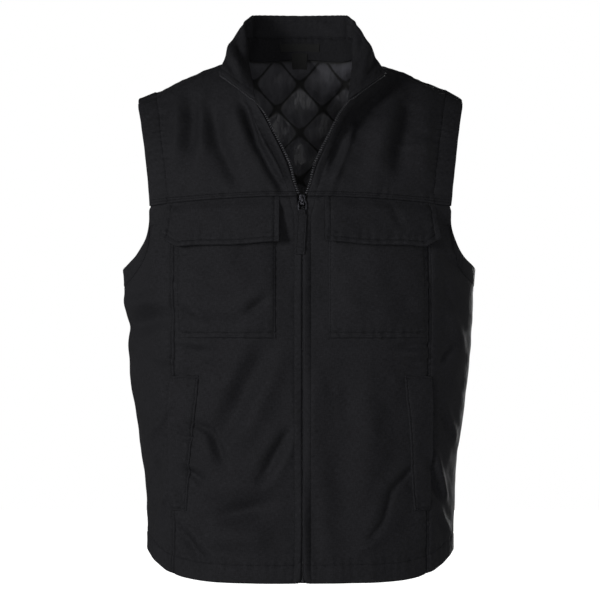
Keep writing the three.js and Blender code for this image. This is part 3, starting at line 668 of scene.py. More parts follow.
def wall(name, top, under, uv, rub=None):
    """Two sheets of a grid joined round the rim, which bulges outwards by a share of the thickness."""
    rows, columns = top.shape[:2]
    count = rows * columns
    ids = np.arange(count).reshape(rows, columns)
    rim = np.concatenate([ids[0, :-1], ids[:-1, -1], ids[-1, :0:-1], ids[:0:-1, 0]])
    away = np.zeros_like(top)
    away[0] += unit(top[0] - top[1])
    away[-1] += unit(top[-1] - top[-2])
    away[:, 0] += unit(top[:, 0] - top[:, 1])
    away[:, -1] += unit(top[:, -1] - top[:, -2])
    thick = np.linalg.norm(top - under, axis=-1, keepdims=True)
    bulge = ((top + under) / 2 + RIM_BULGE * thick * unit(away)).reshape(-1, 3)[rim]
    sheet = grid_faces(rows, columns)
    edge = 2 * count + np.arange(len(rim))
    a, b, edge_b = rim, np.roll(rim, -1), np.roll(edge, -1)
    faces = [
        sheet,
        sheet[:, ::-1] + count,
        np.stack([b, a, edge, edge_b], -1),
        np.stack([edge_b, edge, a + count, b + count], -1),
    ]
    facing = np.cross(top[:-1, 1:] - top[:-1, :-1], top[1:, :-1] - top[:-1, :-1])
    if np.sum(facing * (top - under)[:-1, :-1]) < 0:
        faces = [part[:, ::-1] for part in faces]
    points = np.concatenate([top.reshape(-1, 3), under.reshape(-1, 3), bulge])
    uv = uv.reshape(-1, 2)
    rub = np.zeros(count) if rub is None else rub.ravel()
    return make_piece(
        name, points, faces, np.concatenate([uv, uv, uv[rim]]), np.concatenate([rub, rub, rub[rim]])
    )


print("a rim bulges by", RIM_BULGE, "of the thickness")

# %% [markdown]
# ## Finishes
# A material is a graph of nodes. Written as Python expressions it stays readable: a small class wraps a
# socket, its operators add Math nodes, and one method adds any other node.


# %% Shader maths
class Wire:
    """A socket in a material. Operators on it add Math nodes, and node() adds any other node."""

    def __init__(self, tree, socket=None):
        """Keeps the material's node tree and one output in it."""
        self.tree, self.socket = tree, socket

    def node(self, kind, settings=None, sockets=None, output=0):
        """Adds a node: first its settings, a ramp's stops among them, then the values or links it takes."""
        made = self.tree.nodes.new(kind)
        for name, value in (settings or {}).items():
            if name == "stops":
                self.set_stops(made.color_ramp.elements, value)
            else:
                setattr(made, name, value)
        for name, value in (sockets or {}).items():
            if isinstance(value, Wire):
                self.tree.links.new(value.socket, made.inputs[name])
            else:
                made.inputs[name].default_value = value
        return Wire(self.tree, made.outputs[output])

    @staticmethod
    def set_stops(elements, stops):
        """A ramp starts with two stops. More are added, and each gets its place and its colour."""
        while len(elements) < len(stops):
            elements.new(0.5)
        for element, (place, colour) in zip(elements, stops):
            element.position, element.color = place, (*colour, 1)

    def math(self, operation, *values):
        """A Math node on these values, or on this socket alone."""
        return self.node("ShaderNodeMath", {"operation": operation}, dict(enumerate(values or (self,))))

    def __add__(self, other):
        """self + other, and other + self."""
        return self.math("ADD", self, other)

    def __mul__(self, other):
        """self * other, and other * self."""
        return self.math("MULTIPLY", self, other)

    def __sub__(self, other):
        """self - other."""
        return self.math("SUBTRACT", self, other)

    def __rsub__(self, other):
        """other - self."""
        return self.math("SUBTRACT", other, self)

    __radd__, __rmul__ = __add__, __mul__


def finish(name, constants, varying):
    """A material: constants go straight on the shader's sockets, and varying(wire) gives the linked ones."""
    material = bpy.data.materials.new(name)
    material.use_nodes = True
    shader = material.node_tree.nodes["Principled BSDF"]
    for socket, value in constants.items():
        shader.inputs[socket].default_value = value
    for socket, wire in varying(Wire(material.node_tree)).items():
        material.node_tree.links.new(wire.socket, shader.inputs[socket])
    print("finish", name, "has", len(material.node_tree.nodes), "nodes")
    return material


print("a wire turns +, - and * into Math nodes")

# %% [markdown]
# All finishes of the vest are built from the same few parts: a place on the piece, noise, a ramp from a dark
# black to a paler one, and bump. A short function for each keeps the recipes to a few lines.

# %% Parts of a finish
BLUE = 1.15  # of the red and green, since the dyed cloth is a trace blue


def grey(level, blue=BLUE):
    """A near black with a trace of blue."""
    return (level, level, level * blue)


def cloth_uv(wire):
    """The place on a cut panel, in metres along its threads."""
    return wire.node("ShaderNodeUVMap", {"uv_map": "cloth"})


def in_space(wire):
    """The place in the object's own space."""
    return wire.node("ShaderNodeTexCoord", output="Object")


def worn_and_shaded(wire):
    """How worn the canvas is, and on the satin how much shade is painted, as the mesh says."""
    return wire.node("ShaderNodeAttribute", {"attribute_name": "rub"}, output="Fac")


def part_of(vector, axis):
    """One part of a place. On cloth X is the way across and Y the way up."""
    return vector.node("ShaderNodeSeparateXYZ", None, {"Vector": vector}, axis)


def noise(place, scale, detail=2.0):
    """Cloudy noise. A scale for each axis stretches it, through a Mapping node."""
    if isinstance(scale, tuple):
        place = place.node("ShaderNodeMapping", None, {"Vector": place, "Scale": scale})
        scale = 1.0
    return place.node("ShaderNodeTexNoise", None, {"Vector": place, "Scale": scale, "Detail": detail})


def ribs_along(way, pitch):
    """Fine ribs from 0 to 1: a sine along a way, with a pitch in metres."""
    return (way * (2 * np.pi / pitch)).math("SINE") * 0.5 + 0.5


def ramp(mark, stops):
    """A colour ramp through near blacks. Each stop has a place and a level."""
    colours = [(place, grey(*level)) for place, *level in stops]
    return mark.node("ShaderNodeValToRGB", {"stops": colours}, {"Fac": mark})


def bump(height, look):
    """A Bump node with the strength, and the distance in metres, of a look."""
    sockets = {"Height": height, "Strength": look.strength, "Distance": look.distance}
    return height.node("ShaderNodeBump", None, sockets)


def marked(mark, look):
    """Base colour and roughness that both follow one mark."""
    return {"Base Color": ramp(mark, look.stops), "Roughness": look.rough + mark * look.rougher}


print("a near black:", np.round(grey(0.01), 4))

# %% [markdown]
# ## Light
# Black cloth shows its folds only by soft light that comes more from one side than the others. One softbox
# stands on the left, weaker ones by the camera and at the sides, and one behind for views of the back. The
# world is white behind the vest but lights it only dimly, or the folds would wash out. The Standard view
# transform keeps the white ground white and the blacks as dark as they are set.

# %% Softboxes and world
AMBIENT = 0.14  # the world's strength as a light, where 1 is white
LIGHT_AIM = (0, 0, -0.3)
SOFTBOXES = {  # place, width and height in metres, power in watts
    "key": ((-2.0, -2.2, 0.05), (0.6, 1.0), 77),
    "front": ((0.2, -3.4, -0.6), (0.8, 0.6), 30),
    "fill": ((2.3, -2.0, -0.4), (0.7, 1.4), 8),
    "rim_right": ((2.3, 0.7, -0.3), (0.6, 1.4), 12),
    "rim_left": ((-2.3, 0.9, -0.3), (0.6, 1.4), 4),
    "behind": ((1.5, 2.8, 0.1), (0.8, 1.2), 80),
}


def camera_ray(wire):
    """1 for what the camera sees itself, and 0 for light on its way."""
    return wire.node("ShaderNodeLightPath", output="Is Camera Ray")


for name, (place, (width, height), power) in SOFTBOXES.items():
    light = bpy.data.lights.new(name, "AREA")
    light.shape = "RECTANGLE"
    light.size, light.size_y, light.energy = width, height, power
    softbox = bpy.data.objects.new(name, light)
    softbox.location = place
    softbox.rotation_euler = (Vector(LIGHT_AIM) - Vector(place)).to_track_quat("-Z", "Y").to_euler()
    softbox.visible_camera = False
    bpy.context.collection.objects.link(softbox)
    print("softbox", name, power, "W")

world = bpy.data.worlds.new("studio")
world.use_nodes = True
background = world.node_tree.nodes["Background"]
background.inputs["Color"].default_value = (1, 1, 1, 1)
strength = camera_ray(Wire(world.node_tree)) * (1 - AMBIENT) + AMBIENT
world.node_tree.links.new(strength.socket, background.inputs["Strength"])
bpy.context.scene.world = world
bpy.context.scene.view_settings.view_transform = "Standard"

# %% [markdown]
# A plain pale sheet lies under the vest. It could be a curved studio sweep, but a flat square serves every
# view, and a glow that only the camera sees keeps it white out to its edge.

# %% The floor
FLOOR_DROP = 0.09  # metres under the hem, which hangs clear of it
FLOOR_HALF = 1800.0  # mm
FLOOR_LINES = 5
FLOOR_LOOK = {"Base Color": (0.5, 0.5, 0.5, 1), "Roughness": 0.9, "Emission Strength": 0.85}

floor_ways = np.linspace(-FLOOR_HALF, FLOOR_HALF, FLOOR_LINES)
floor_z = (cad_box[0][2] - FLOOR_DROP) / MM
floor_points = points_of(floor_ways, floor_ways[:, None], floor_z)
floor = make_piece("floor", floor_points.reshape(-1, 3), [grid_faces(FLOOR_LINES, FLOOR_LINES)])
pale_floor = finish("pale_floor", FLOOR_LOOK, lambda wire: {"Emission Color": camera_ray(wire)})
floor.data.materials.append(pale_floor)
print("floor at", round(floor_z, 1), "mm")

# %% [markdown]
# ## Canvas
# The shell is a firm cotton canvas in a twill weave: fine ridges run aslant, thicker yarns make faint
# streaks, and where seams stand proud the dye has worn a little paler. A picture of cloth would repeat and
# stretch. This weave reads the cloth's own UV map, which is in metres along the threads, so it follows
# each panel as cut cloth would.

# %% Canvas
TWILL = Sizes(pitch=0.0011, across=0.8, up=0.6, yarns=1.7)  # metres from ridge to ridge, and its ways
STREAKS = (700, 200, 1), (180, 700, 1)  # scales of the thicker yarns, one for each way of the weave
CLOUDS = Sizes(scale=28.0, detail=5.0)
CANVAS_SHADE = Sizes(clouds=0.12, streaks=0.88, ridges=0.04, rub=0.02)  # weights
CANVAS_RELIEF = Sizes(ridges=0.5, yarns=0.25, streaks=0.9, strength=0.45, distance=0.00012)
CANVAS_STOPS = 0.3, 0.7  # where the ramp leaves the dark black and reaches the pale one
CANVAS_ROUGHER = 0.12  # from the smoothest streak to the roughest


def weave(wire):
    """Aslant ridges sin(2 pi (0.8 u + 0.6 v) / pitch), crossed by finer ones, and streaks along the yarn."""
    uv = cloth_uv(wire)
    turn = 2 * np.pi / TWILL.pitch
    u, v = part_of(uv, "X"), part_of(uv, "Y")
    ridges = (u * (TWILL.across * turn) + v * (TWILL.up * turn)).math("SINE")
    yarns = (v * (TWILL.yarns * turn)).math("SINE")
    one_way, other_way = (noise(uv, scale) for scale in STREAKS)
    return ridges, yarns, one_way * 0.5 + other_way * 0.5


def canvas_finish(name, dark, pale, roughness, specular):
    """Canvas between two near blacks, with its weave as bump and its worn edges paler."""
    def varying(wire):
        """The weave's weighted sums, one for the shade and one for the relief."""
        ridges, yarns, streaks = weave(wire)
        clouds = noise(in_space(wire), CLOUDS.scale, CLOUDS.detail)
        part = CANVAS_SHADE
        shade = clouds * part.clouds + streaks * part.streaks + ridges * part.ridges
        shade = shade + worn_and_shaded(wire) * part.rub
        part = CANVAS_RELIEF
        height = ridges * part.ridges + yarns * part.yarns + streaks * part.streaks
        return {
            "Base Color": ramp(shade, list(zip(CANVAS_STOPS, (dark, pale)))),
            "Roughness": streaks * CANVAS_ROUGHER + (roughness - CANVAS_ROUGHER / 2),
            "Normal": bump(height, CANVAS_RELIEF),
        }

    return finish(name, {"Specular IOR Level": specular}, varying)


CANVAS = canvas_finish("canvas", dark=0.0035, pale=0.0135, roughness=0.8, specular=0.08)
CANVAS_INSIDE = canvas_finish("canvas_inside", dark=0.003, pale=0.012, roughness=0.84, specular=0.07)

# %% [markdown]
# ## Satin
# The lining is smooth black satin. Its threads float side by side, so it shines: low roughness, more
# reflection, and small creases as bump. The quilting lines lie deep between the puffs. The mesh is too coarse
# to draw them sharp, so the shader works them out again from the UV map and paints them nearly black:
# painted shade, as on the pinched edges. It also paints the colour paler on the creases' crests: painted
# highlight.

# %% Satin
QUILT = Sizes(wide=68, tall=70, start=9, power=0.55, blunt=0.1)  # mm, then how the puffs rise
PAINTED_SHADE_HEIGHT = 0.16  # up to this height of a puff the satin's colour is darkened: painted shade along the quilting lines
# colour stops run from the painted shade of the quilting lines to the painted highlight on crease crests
SATIN_LOOK = Sizes(
    stops=((0, 0.0015), (0.35, 0.025), (0.7, 0.045)), rough=0.34, rougher=0.2, specular=0.36,
    creases=(80, 40, 1), detail=4.0, strength=0.7, distance=0.005,
    fine=900.0, fine_height=0.06, sunk_shade=0.6, sunk_rougher=0.4,
)


def satin_varying(wire):
    """Small creases as bump, stretched up and down, with the colour paler on their crests: painted highlight.
    The quilting lines, where sin a sin b is 0 for two sets of slanted lines a and b, are painted darker as
    shade and made dull, and so are the pinched edges."""
    look, uv = SATIN_LOOK, cloth_uv(wire)
    across = part_of(uv, "X") * (np.pi / (QUILT.wide * MM))
    up = part_of(uv, "Y") * (np.pi / (QUILT.tall * MM))
    puffed = ((across + up).math("SINE") * (across - up).math("SINE")).math("ABSOLUTE")
    groove = wire.node(
        "ShaderNodeMapRange",
        {"interpolation_type": "SMOOTHSTEP"},
        {"Value": puffed, "From Min": 0.0, "From Max": PAINTED_SHADE_HEIGHT, "To Min": 1.0, "To Max": 0.0},
    )
    # where shade is painted on the colour: the quilting lines, and the pinched edges that the mesh marks
    sunk = groove.math("MAXIMUM", groove, worn_and_shaded(wire))
    creases = noise(uv, look.creases, look.detail)
    return {
        # painted: paler on the creases' crests as highlight, near black along quilting lines and edges as
        # shade
        "Base Color": ramp(creases - sunk * look.sunk_shade, look.stops),
        "Roughness": look.rough + creases * look.rougher + sunk * look.sunk_rougher,
        "Normal": bump(creases + noise(uv, look.fine) * look.fine_height, look),
    }


SATIN = finish("satin", {"Specular IOR Level": SATIN_LOOK.specular}, satin_varying)

# %% [markdown]
# ## Thread, labels and the zip
# Sewing thread is twisted from two plies and a shade darker than canvas, so a row of stitches reads as a
# fine broken line. Labels are a plain damask, the zip's tape is a ribbed weave, its teeth are moulded, and
# the slider and its ring are darkened metal. Each is one pattern that shades both colour and roughness.

# %% Thread, labels, tape, teeth and metal
THREAD_LOOK = Sizes(stops=((0.2, 0.0015), (0.8, 0.0035)), rough=0.55, rougher=0.1, plies=900.0)
LABEL_LOOK = Sizes(
    stops=((0, 0.005, 1.0), (1, 0.009, 1.0)), rough=0.45, rougher=0.1,
    rib=0.0006, strength=0.3, distance=0.0001,
)
TAPE_LOOK = Sizes(
    stops=((0, 0.003), (1, 0.008)), rough=0.7, rougher=0.1,
    rib=0.0012, turn_back=0.002, strength=0.5, distance=0.0002,
)
TEETH_LOOK = Sizes(stops=((0.3, 0.014), (0.7, 0.034)), rough=0.3, rougher=0.15, mottle=700.0)
METAL_LOOK = Sizes(
    stops=((0.35, 0.01), (0.75, 0.05)), rough=0.4, rougher=0.2,
    grain=(2400, 2400, 300), bright=260.0, detail=3.0, strength=0.2, distance=0.00005,
)


def thread_varying(wire):
    """Two plies twisted round each other show as aslant bands along the thread."""
    sockets = {"Vector": in_space(wire), "Scale": THREAD_LOOK.plies}
    return marked(wire.node("ShaderNodeTexWave", {"bands_direction": "DIAGONAL"}, sockets), THREAD_LOOK)


def label_varying(wire):
    """A plain damask label: fine ribs across it."""
    ribs = ribs_along(part_of(cloth_uv(wire), "Y"), LABEL_LOOK.rib)
    return {**marked(ribs, LABEL_LOOK), "Normal": bump(ribs, LABEL_LOOK)}


def tape_varying(wire):
    """Herringbone ribs: a sine along the tape that turns back at its middle."""
    uv = cloth_uv(wire)
    u, v = part_of(uv, "X"), part_of(uv, "Y")
    ribs = ribs_along(v + u.math("PINGPONG", u, TAPE_LOOK.turn_back), TAPE_LOOK.rib)
    return {**marked(ribs, TAPE_LOOK), "Normal": bump(ribs, TAPE_LOOK)}


def tooth_varying(wire):
    """Moulded teeth, faintly mottled."""
    return marked(noise(in_space(wire), TEETH_LOOK.mottle), TEETH_LOOK)


def metal_varying(wire):
    """Darkened metal with a fine grain up and down, paler where the finish has worn away."""
    place = in_space(wire)
    grain = noise(place, METAL_LOOK.grain)
    bright = noise(place, METAL_LOOK.bright, METAL_LOOK.detail)
    return {
        "Base Color": ramp(bright, METAL_LOOK.stops),
        "Roughness": METAL_LOOK.rough + grain * METAL_LOOK.rougher,
        "Normal": bump(grain, METAL_LOOK),
    }


THREAD = finish("thread", {"Specular IOR Level": 0.05}, thread_varying)
LABEL_CLOTH = finish("label_cloth", {"Specular IOR Level": 0.1}, label_varying)
ZIP_TAPE = finish("zip_tape", {"Specular IOR Level": 0.06}, tape_varying)
ZIP_TEETH = finish("zip_teeth", {"Specular IOR Level": 0.4}, tooth_varying)
ZIP_METAL = finish("zip_metal", {"Metallic": 1.0}, metal_varying)

# %% [markdown]
# ## How the cloth hangs
# Cloth on a body has long soft waves and a few sharper drag folds, from the pockets, the welts and the
# opened collar. Each fold is one row of an array: a line on the front or the back, a width and a height.
# A cloth simulation would make its own folds. Rows put them where the real vest has them.

# %% Folds
FRONT_FOLDS = np.array((  # x and z of both ends, width and height, all in mm
    # across the right front
    (-44, -388, -80, -454, 18, -6.5), (-80, -454, -110, -514, 16, -6), (-76, -392, -112, -470, 17, 5),
    (-30, -410, -74, -512, 16, 4.5), (-114, -622, -46, -604, 12, -8.5), (-112, -578, -40, -574, 14, 4.5),
    (-104, -648, -44, -644, 14, 4.5), (-14, -500, -52, -570, 7, -5), (-36, -508, -62, -548, 9, 3),
    (-10, -524, -32, -568, 8, 2.4), (-146, -492, -122, -504, 5, -4.8), (-122, -504, -102, -546, 6, -5.4),
    (-128, -520, -118, -548, 7, 3),
    # drags on the right welt, and the right side
    (-160, -510, -144, -513, 5, -3.5), (-162, -492, -146, -494, 6, 2.2), (-154, -556, -128, -576, 6, -5.4),
    (-156, -546, -130, -556, 6, 2.6), (-167, -588, -158, -618, 5, -3.4), (-168, -636, -130, -682, 7, -5.6),
    (-150, -634, -118, -670, 7, 3.2), (-120, -660, -80, -676, 8, -2.6), (-162, -392, -130, -396, 6, -3),
    (-160, -380, -120, -384, 6, 2.2), (-140, -408, -104, -424, 7, -2.4), (-234, -360, -188, -350, 12, -7.5),
    (-236, -328, -186, -324, 12, 6), (-200, -392, -178, -410, 9, 3), (-176, -470, -204, -510, 6, 3.4),
    (-184, -588, -198, -636, 6, 3.6), (-192, -540, -206, -580, 7, -3),
    # on the right pocket
    (-158, -340, -148, -348, 5, -3.4), (-148, -330, -128, -352, 6, 2.4), (-72, -343, -44, -322, 5, -3.8),
    (-80, -330, -50, -308, 7, 2.6), (-130, -352, -80, -356, 10, -3), (-150, -290, -120, -296, 9, 2.6),
    (-110, -300, -60, -290, 14, 3),
    # across the left front
    (154, -555, 127, -582, 4.5, -2.6), (127, -582, 114, -628, 4.5, -2.4), (114, -628, 95, -652, 4.5, -2.2),
    (138, -556, 112, -580, 9, 1.8), (112, -580, 98, -630, 9, 1.6), (112, -650, 86, -662, 6, 2.4),
    (44, -420, 62, -620, 22, -3), (96, -430, 92, -560, 20, 3.4), (30, -560, 40, -680, 14, 2.4),
    # under the left pocket, and the left side
    (136, -388, 172, -386, 5, -3.2), (140, -398, 170, -398, 6, 2.4), (194, -408, 212, -390, 5, -3.4),
    (186, -537, 203, -598, 5, 4.6), (178, -548, 193, -600, 6, -3.2), (200, -470, 214, -520, 6, 3.2),
    (192, -610, 208, -652, 6, 3.2), (206, -330, 222, -392, 8, 3.6), (196, -300, 214, -346, 9, -3),
    (196, -262, 226, -286, 6, -2.6), (190, -250, 220, -270, 6, 2.4), (60, -330, 120, -350, 14, 2.6),
    # on the right yoke
    (-77, -55, -58, -111, 6, -7.5), (-58, -111, -40, -147, 6, -7.5), (-40, -147, -20, -176, 6, -7),
    (-62, -72, -36, -130, 6, 4.6), (-36, -130, -20, -166, 5, 4), (-88, -62, -72, -116, 9, 5),
    (-124, -62, -110, -115, 11, -7), (-110, -115, -84, -165, 10, -6), (-98, -70, -84, -130, 11, 4.2),
    (-150, -50, -152, -120, 10, -5.4), (-136, -46, -132, -130, 10, 4.8), (-166, -50, -170, -130, 9, 4),
    # on the left yoke
    (121, -28, 96, -60, 14, -8), (96, -60, 70, -100, 12, -8), (60, -110, 41, -150, 8, -6),
    (78, -80, 46, -162, 5, 4.6), (32, -128, 25, -165, 5, -4.2), (126, -60, 98, -160, 15, 5),
    (152, -50, 134, -150, 12, -5), (178, -60, 172, -150, 12, 4),
))
BACK_FOLDS = np.array((
    (60, -60, 90, -220, 16, 4.5), (-70, -70, -96, -230, 15, 4.5), (90, -420, 60, -600, 18, 4),
    (-40, -440, -72, -610, 17, -4), (20, -460, 6, -640, 15, 3.6), (150, -330, 120, -460, 12, -4),
    (-150, -320, -124, -450, 12, 4), (-30, -90, 30, -92, 13, -3), (110, -250, 20, -300, 16, 3.6),
    (-120, -260, -30, -310, 15, -3.4), (-160, -540, -110, -660, 9, 3.6), (160, -560, 104, -640, 9, -3.4),
))
FOLD_GAIN = 1.35
FOLD_FADE = 2.6  # widths that a fold's end takes to fade, lengthwise
FOLD_INSET = 2.2  # widths from its end, where the fading starts


def fold(x, z, line, width, height):
    """A bell height * e^-(distance / width)^2 across a straight line, which fades slowly near both ends.
    Where one fold ends on the start of the next, the two fading ends add up to one height."""
    x0, z0, x1, z1 = line
    length = np.hypot(x1 - x0, z1 - z0)
    way_x, way_z = (x1 - x0) / length, (z1 - z0) / length
    along = (x - x0) * way_x + (z - z0) * way_z
    inset = min(FOLD_INSET * width, length / 2)
    past = np.maximum(np.maximum(inset - along, along - length + inset), 0)
    across = (x - x0) * way_z - (z - z0) * way_x
    return height * np.exp(-(across**2 + (past / FOLD_FADE) ** 2) / width**2)


print(len(FRONT_FOLDS), "folds in front and", len(BACK_FOLDS), "at the back")

# %% [markdown]
# Between the folds worn cloth is never quite smooth. Its long waves and small wrinkles have no places worth
# noting, so they are drawn by lot from a fixed seed, which makes the same vest each time.

# %% Waves, wrinkles and drape
SEED = 11
WAVES = 24
WAVE_SLOPE = 0.005  # height of a wave over its length
WAVE_LENGTHS = np.geomspace(20, 210, WAVES)
WRINKLES = 150
WRINKLE = Sizes(low=(-215, -690), high=(215, -60), half=(8, 24), width=(4, 8), height=1.1)
FACE_FADE = 30  # mm of depth over which a fold fades out round the body's side
NECK_HOLD = Sizes(half=78, y=-14, deep=62, spread=1.5, start=-40, full=-10)
ZIP_HOLD = 15  # mm beside the opening where the stiff edge keeps the cloth flat

lot = np.random.default_rng(SEED)
WAVE_WAYS = unit(lot.normal(size=(WAVES, 3))) * (2 * np.pi / WAVE_LENGTHS[:, None])
WAVE_STARTS = lot.uniform(0, 2 * np.pi, WAVES)
middle = lot.uniform(WRINKLE.low, WRINKLE.high, (WRINKLES, 2))
aslant = lot.uniform(0, np.pi, WRINKLES)
half = lot.uniform(*WRINKLE.half, WRINKLES)[:, None] * np.stack([np.cos(aslant), np.sin(aslant)], -1)
width = lot.uniform(*WRINKLE.width, WRINKLES)
height = lot.normal(0, WRINKLE.height, WRINKLES)

fold_rows = [folds * (1, 1, 1, 1, 1, FOLD_GAIN) for folds in (FRONT_FOLDS, BACK_FOLDS)]
wrinkle_rows = np.hstack([middle - half, middle + half, width[:, None], height[:, None]])
CREASES = np.concatenate([*fold_rows, wrinkle_rows])
wrinkle_faces = np.where(np.arange(WRINKLES) % 2, 1, -1)
CREASE_FACES = np.concatenate([np.repeat((-1, 1), [len(rows) for rows in fold_rows]), wrinkle_faces])


def drape(points):
    """How far the cloth stands off the form: sine waves, the longer the higher, and a bell across each fold,
    fading round the body's side. The neck seam, an ellipse from above, and the zip's edges hold it flat."""
    x, y, z = np.moveaxis(points, -1, 0)
    stand = np.sin(points @ WAVE_WAYS.T + WAVE_STARTS) @ (WAVE_SLOPE * WAVE_LENGTHS)
    for face, (*line, width, height) in zip(CREASE_FACES, CREASES):
        stand += np.clip(0.5 + face * y / FACE_FADE, 0, 1) * fold(x, z, line, width, height)
    neck = np.hypot(x / NECK_HOLD.half, (y - NECK_HOLD.y) / NECK_HOLD.deep)
    held = smooth(z, NECK_HOLD.start, NECK_HOLD.full) * (1 - smooth(neck, 1, NECK_HOLD.spread))
    beside = np.abs(x - FRONT_SHIFT) - opening_at(z)
    return stand * (1 - held) * np.where(y < 0, smooth(beside, 0, ZIP_HOLD), 1)


print(WRINKLES, "wrinkles and", WAVES, "waves")

# %% [markdown]
# ## Seams and edges
# A seam pulls the cloth down into a groove and swells it beside the groove. A folded edge is thicker as far
# as its row of stitches, and each row of stitches sinks in and puckers the cloth a little. A panel knows its
# points' distances from every edge, so each of these is a short function of one distance.

# %% Sewn edges
SEAM = Sizes(dip=1.5, turn=1.3, swell=1.4, swell_at=10, swell_width=8)
FOLDED = Sizes(rise=0.6, before=1, past=2.5, round=0.9, turn=0.9)
STITCH_DENT = Sizes(depth=1.0, width=1.3)
PUCKER = Sizes(height=0.6, reach=10, pitch=13)
WANDER = (2.1, 23), (1.3, 9.7)  # how far the puckers stray, as an angle, and over how many mm
RUB = Sizes(at=1.6, width=1.6)


def bell(distance, width):
    """e^-(distance / width)^2: 1 in the middle, fading to both sides."""
    return np.exp(-((distance / width) ** 2))


def pucker(distance, along, at):
    """Small waves along a stitch line, sin of the way along at a pitch that wanders, fading to both sides."""
    (slow, slow_run), (quick, quick_run) = WANDER
    wander = slow * np.sin(along / slow_run + at) + quick * np.sin(along / quick_run)
    fade = bell(distance - at, PUCKER.reach)
    return PUCKER.height * fade * np.sin(2 * np.pi * along / PUCKER.pitch + wander)


def edgewise(shape):
    """Lets a shape that is worked out for one edge be added up over several."""
    return lambda panel, *edges: sum(shape(panel, edge) for edge in edges)


@edgewise
def stitched(panel, edge):
    """The dents and puckers of an edge's rows of stitches."""
    distance, along = panel.beside(edge)
    dents = [STITCH_DENT.depth * bell(distance - at, STITCH_DENT.width) for at in panel.rows[edge]]
    return sum(pucker(distance, along, at) - dent for at, dent in zip(panel.rows[edge], dents))


@edgewise
def seam(panel, edge):
    """A groove, -dip * e^-(d / turn)^2, a swell beside it, and puckers."""
    distance, along = panel.beside(edge)
    groove = -SEAM.dip * bell(distance, SEAM.turn)
    swell = SEAM.swell * bell(distance - SEAM.swell_at, SEAM.swell_width)
    return groove + swell + pucker(distance, along, 0)


@edgewise
def turned(panel, edge):
    """A turned edge with its stitches is rounded off, -round * e^-(d / turn)^2."""
    return stitched(panel, edge) - FOLDED.round * bell(getattr(panel, edge), FOLDED.turn)


@edgewise
def folded(panel, edge):
    """A folded edge is turned, and raised up to its last row of stitches."""
    last = max(panel.rows[edge])
    rise = 1 - smooth(getattr(panel, edge), last - FOLDED.before, last + FOLDED.past)
    return FOLDED.rise * rise + turned(panel, edge)


def worn(panel, edges):
    """How worn the cloth is: most a couple of millimetres from the named edges, none far from them."""
    return np.clip(sum(bell(getattr(panel, edge) - RUB.at, RUB.width) for edge in edges), 0, 1)


print("grooves are", SEAM.dip, "mm deep")

# %% [markdown]
# ## Dressing a piece
# A finished piece needs a material. It rides with the vest, and the part of the imported model that it
# stands for is hidden.

# %% Dressing
SIDES = {"left": 1, "right": -1}  # the wearer's
SHELL = CANVAS, "canvas"
INSIDE = CANVAS_INSIDE, "canvas_inside"
sewing = {}  # lines of stitches for each piece of stitching


def dress(piece, material, slot, *nodes):
    """Gives a piece its finish, lets it ride with the vest and hides the CAD nodes that it stands for."""
    piece.data.materials.append(material)
    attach(piece, "root")
    if nodes:
        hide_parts(*nodes)
    print(piece.name, len(piece.data.polygons), "faces")
    return piece


def make_sheet(name, panel, height, thick, node, edges=EDGES, look=SHELL):
    """A sheet of cloth: the panel raised by a height, a wall down from there, and worn along the named edges."""
    panel.top = panel.raised(height)
    rub = worn(panel, edges) if edges else None
    piece = dress(wall(name, panel.top, panel.raised(height - thick), panel.uv, rub), *look, node)
    area = min(panel.area, panel.flat[0] * panel.flat[1])


print("finishes of cloth:", SHELL[1], INSIDE[1])

# %% [markdown]
# ## Stitches
# Stitches are the small scale that tells sewn cloth from moulded plastic. They could be bump in the canvas,
# but then a row would look flat from the side. Each is a short bowed thread that dives into the cloth at both
# ends, and one template is placed along every line as a single array.

# %% Stitches
STITCH = Sizes(pitch=3.3, length=2.5, radius=0.3, taper=0.55, bow=0.3, sink=0.12)
STITCH_RINGS = np.array((-1, -0.55, 0, 0.55, 1))
STITCH_SIDES = 5
STITCH_PROBE = 0.4  # mm before and after, to find which way a line runs


def along_line(points, pitch):
    """Evenly spaced places along a line: how far along each is, and the line's own run."""
    run = run_of(points)
    count = max(int(run[-1] / pitch), 1)
    return (np.arange(count) + 0.5) * run[-1] / count, run


def read_line(values, run, at):
    """A line's values read at distances along it."""
    return np.stack([np.interp(at, run, values[:, k]) for k in range(3)], -1)


def way_along(points, run, at, probe):
    """Which way a line runs, from a little before each place to a little after it."""
    return unit(read_line(points, run, at + probe) - read_line(points, run, at - probe))


def sew(name, lines):
    """Threads along lines of points and normals: rings of five points whose radius shrinks and whose middle
    sinks towards both ends as 1 - u^2, with a flat cap at each end."""
    centres, ways, ups = [], [], []
    for points, normals in lines:
        at, run = along_line(points, STITCH.pitch)
        centres.append(read_line(points, run, at))
        ways.append(way_along(points, run, at, STITCH_PROBE))
        ups.append(unit(read_line(normals, run, at)))
    centre, way, up = (np.concatenate(part)[:, None, None] for part in (centres, ways, ups))
    side = unit(np.cross(way, up))
    u = STITCH_RINGS[None, :, None, None]
    turn = 2 * np.pi * np.arange(STITCH_SIDES)[None, None, :, None] / STITCH_SIDES
    radius = STITCH.radius * (1 - STITCH.taper * u**2)
    middle = STITCH.bow * (1 - u**2) - STITCH.sink
    points = centre + way * u * STITCH.length / 2 + up * (middle + radius * np.sin(turn))
    points = points + side * radius * np.cos(turn)
    rings = len(STITCH_RINGS)
    faces = copied(capped(rings, STITCH_SIDES), len(points), rings * STITCH_SIDES)
    dress(make_piece(name, points.reshape(-1, 3), faces), THREAD, "canvas")


print("a stitch has", len(STITCH_RINGS) * STITCH_SIDES, "points")

# %% [markdown]
# ## The fronts
# Each front runs from the zip to the side seam. A row of stitches beside the zip holds its turned edge, and
# another lies above the hem. The top is set into the yoke seam. Everything that stands off the form is added
# up as one height: hanging folds, folded edges and seams.

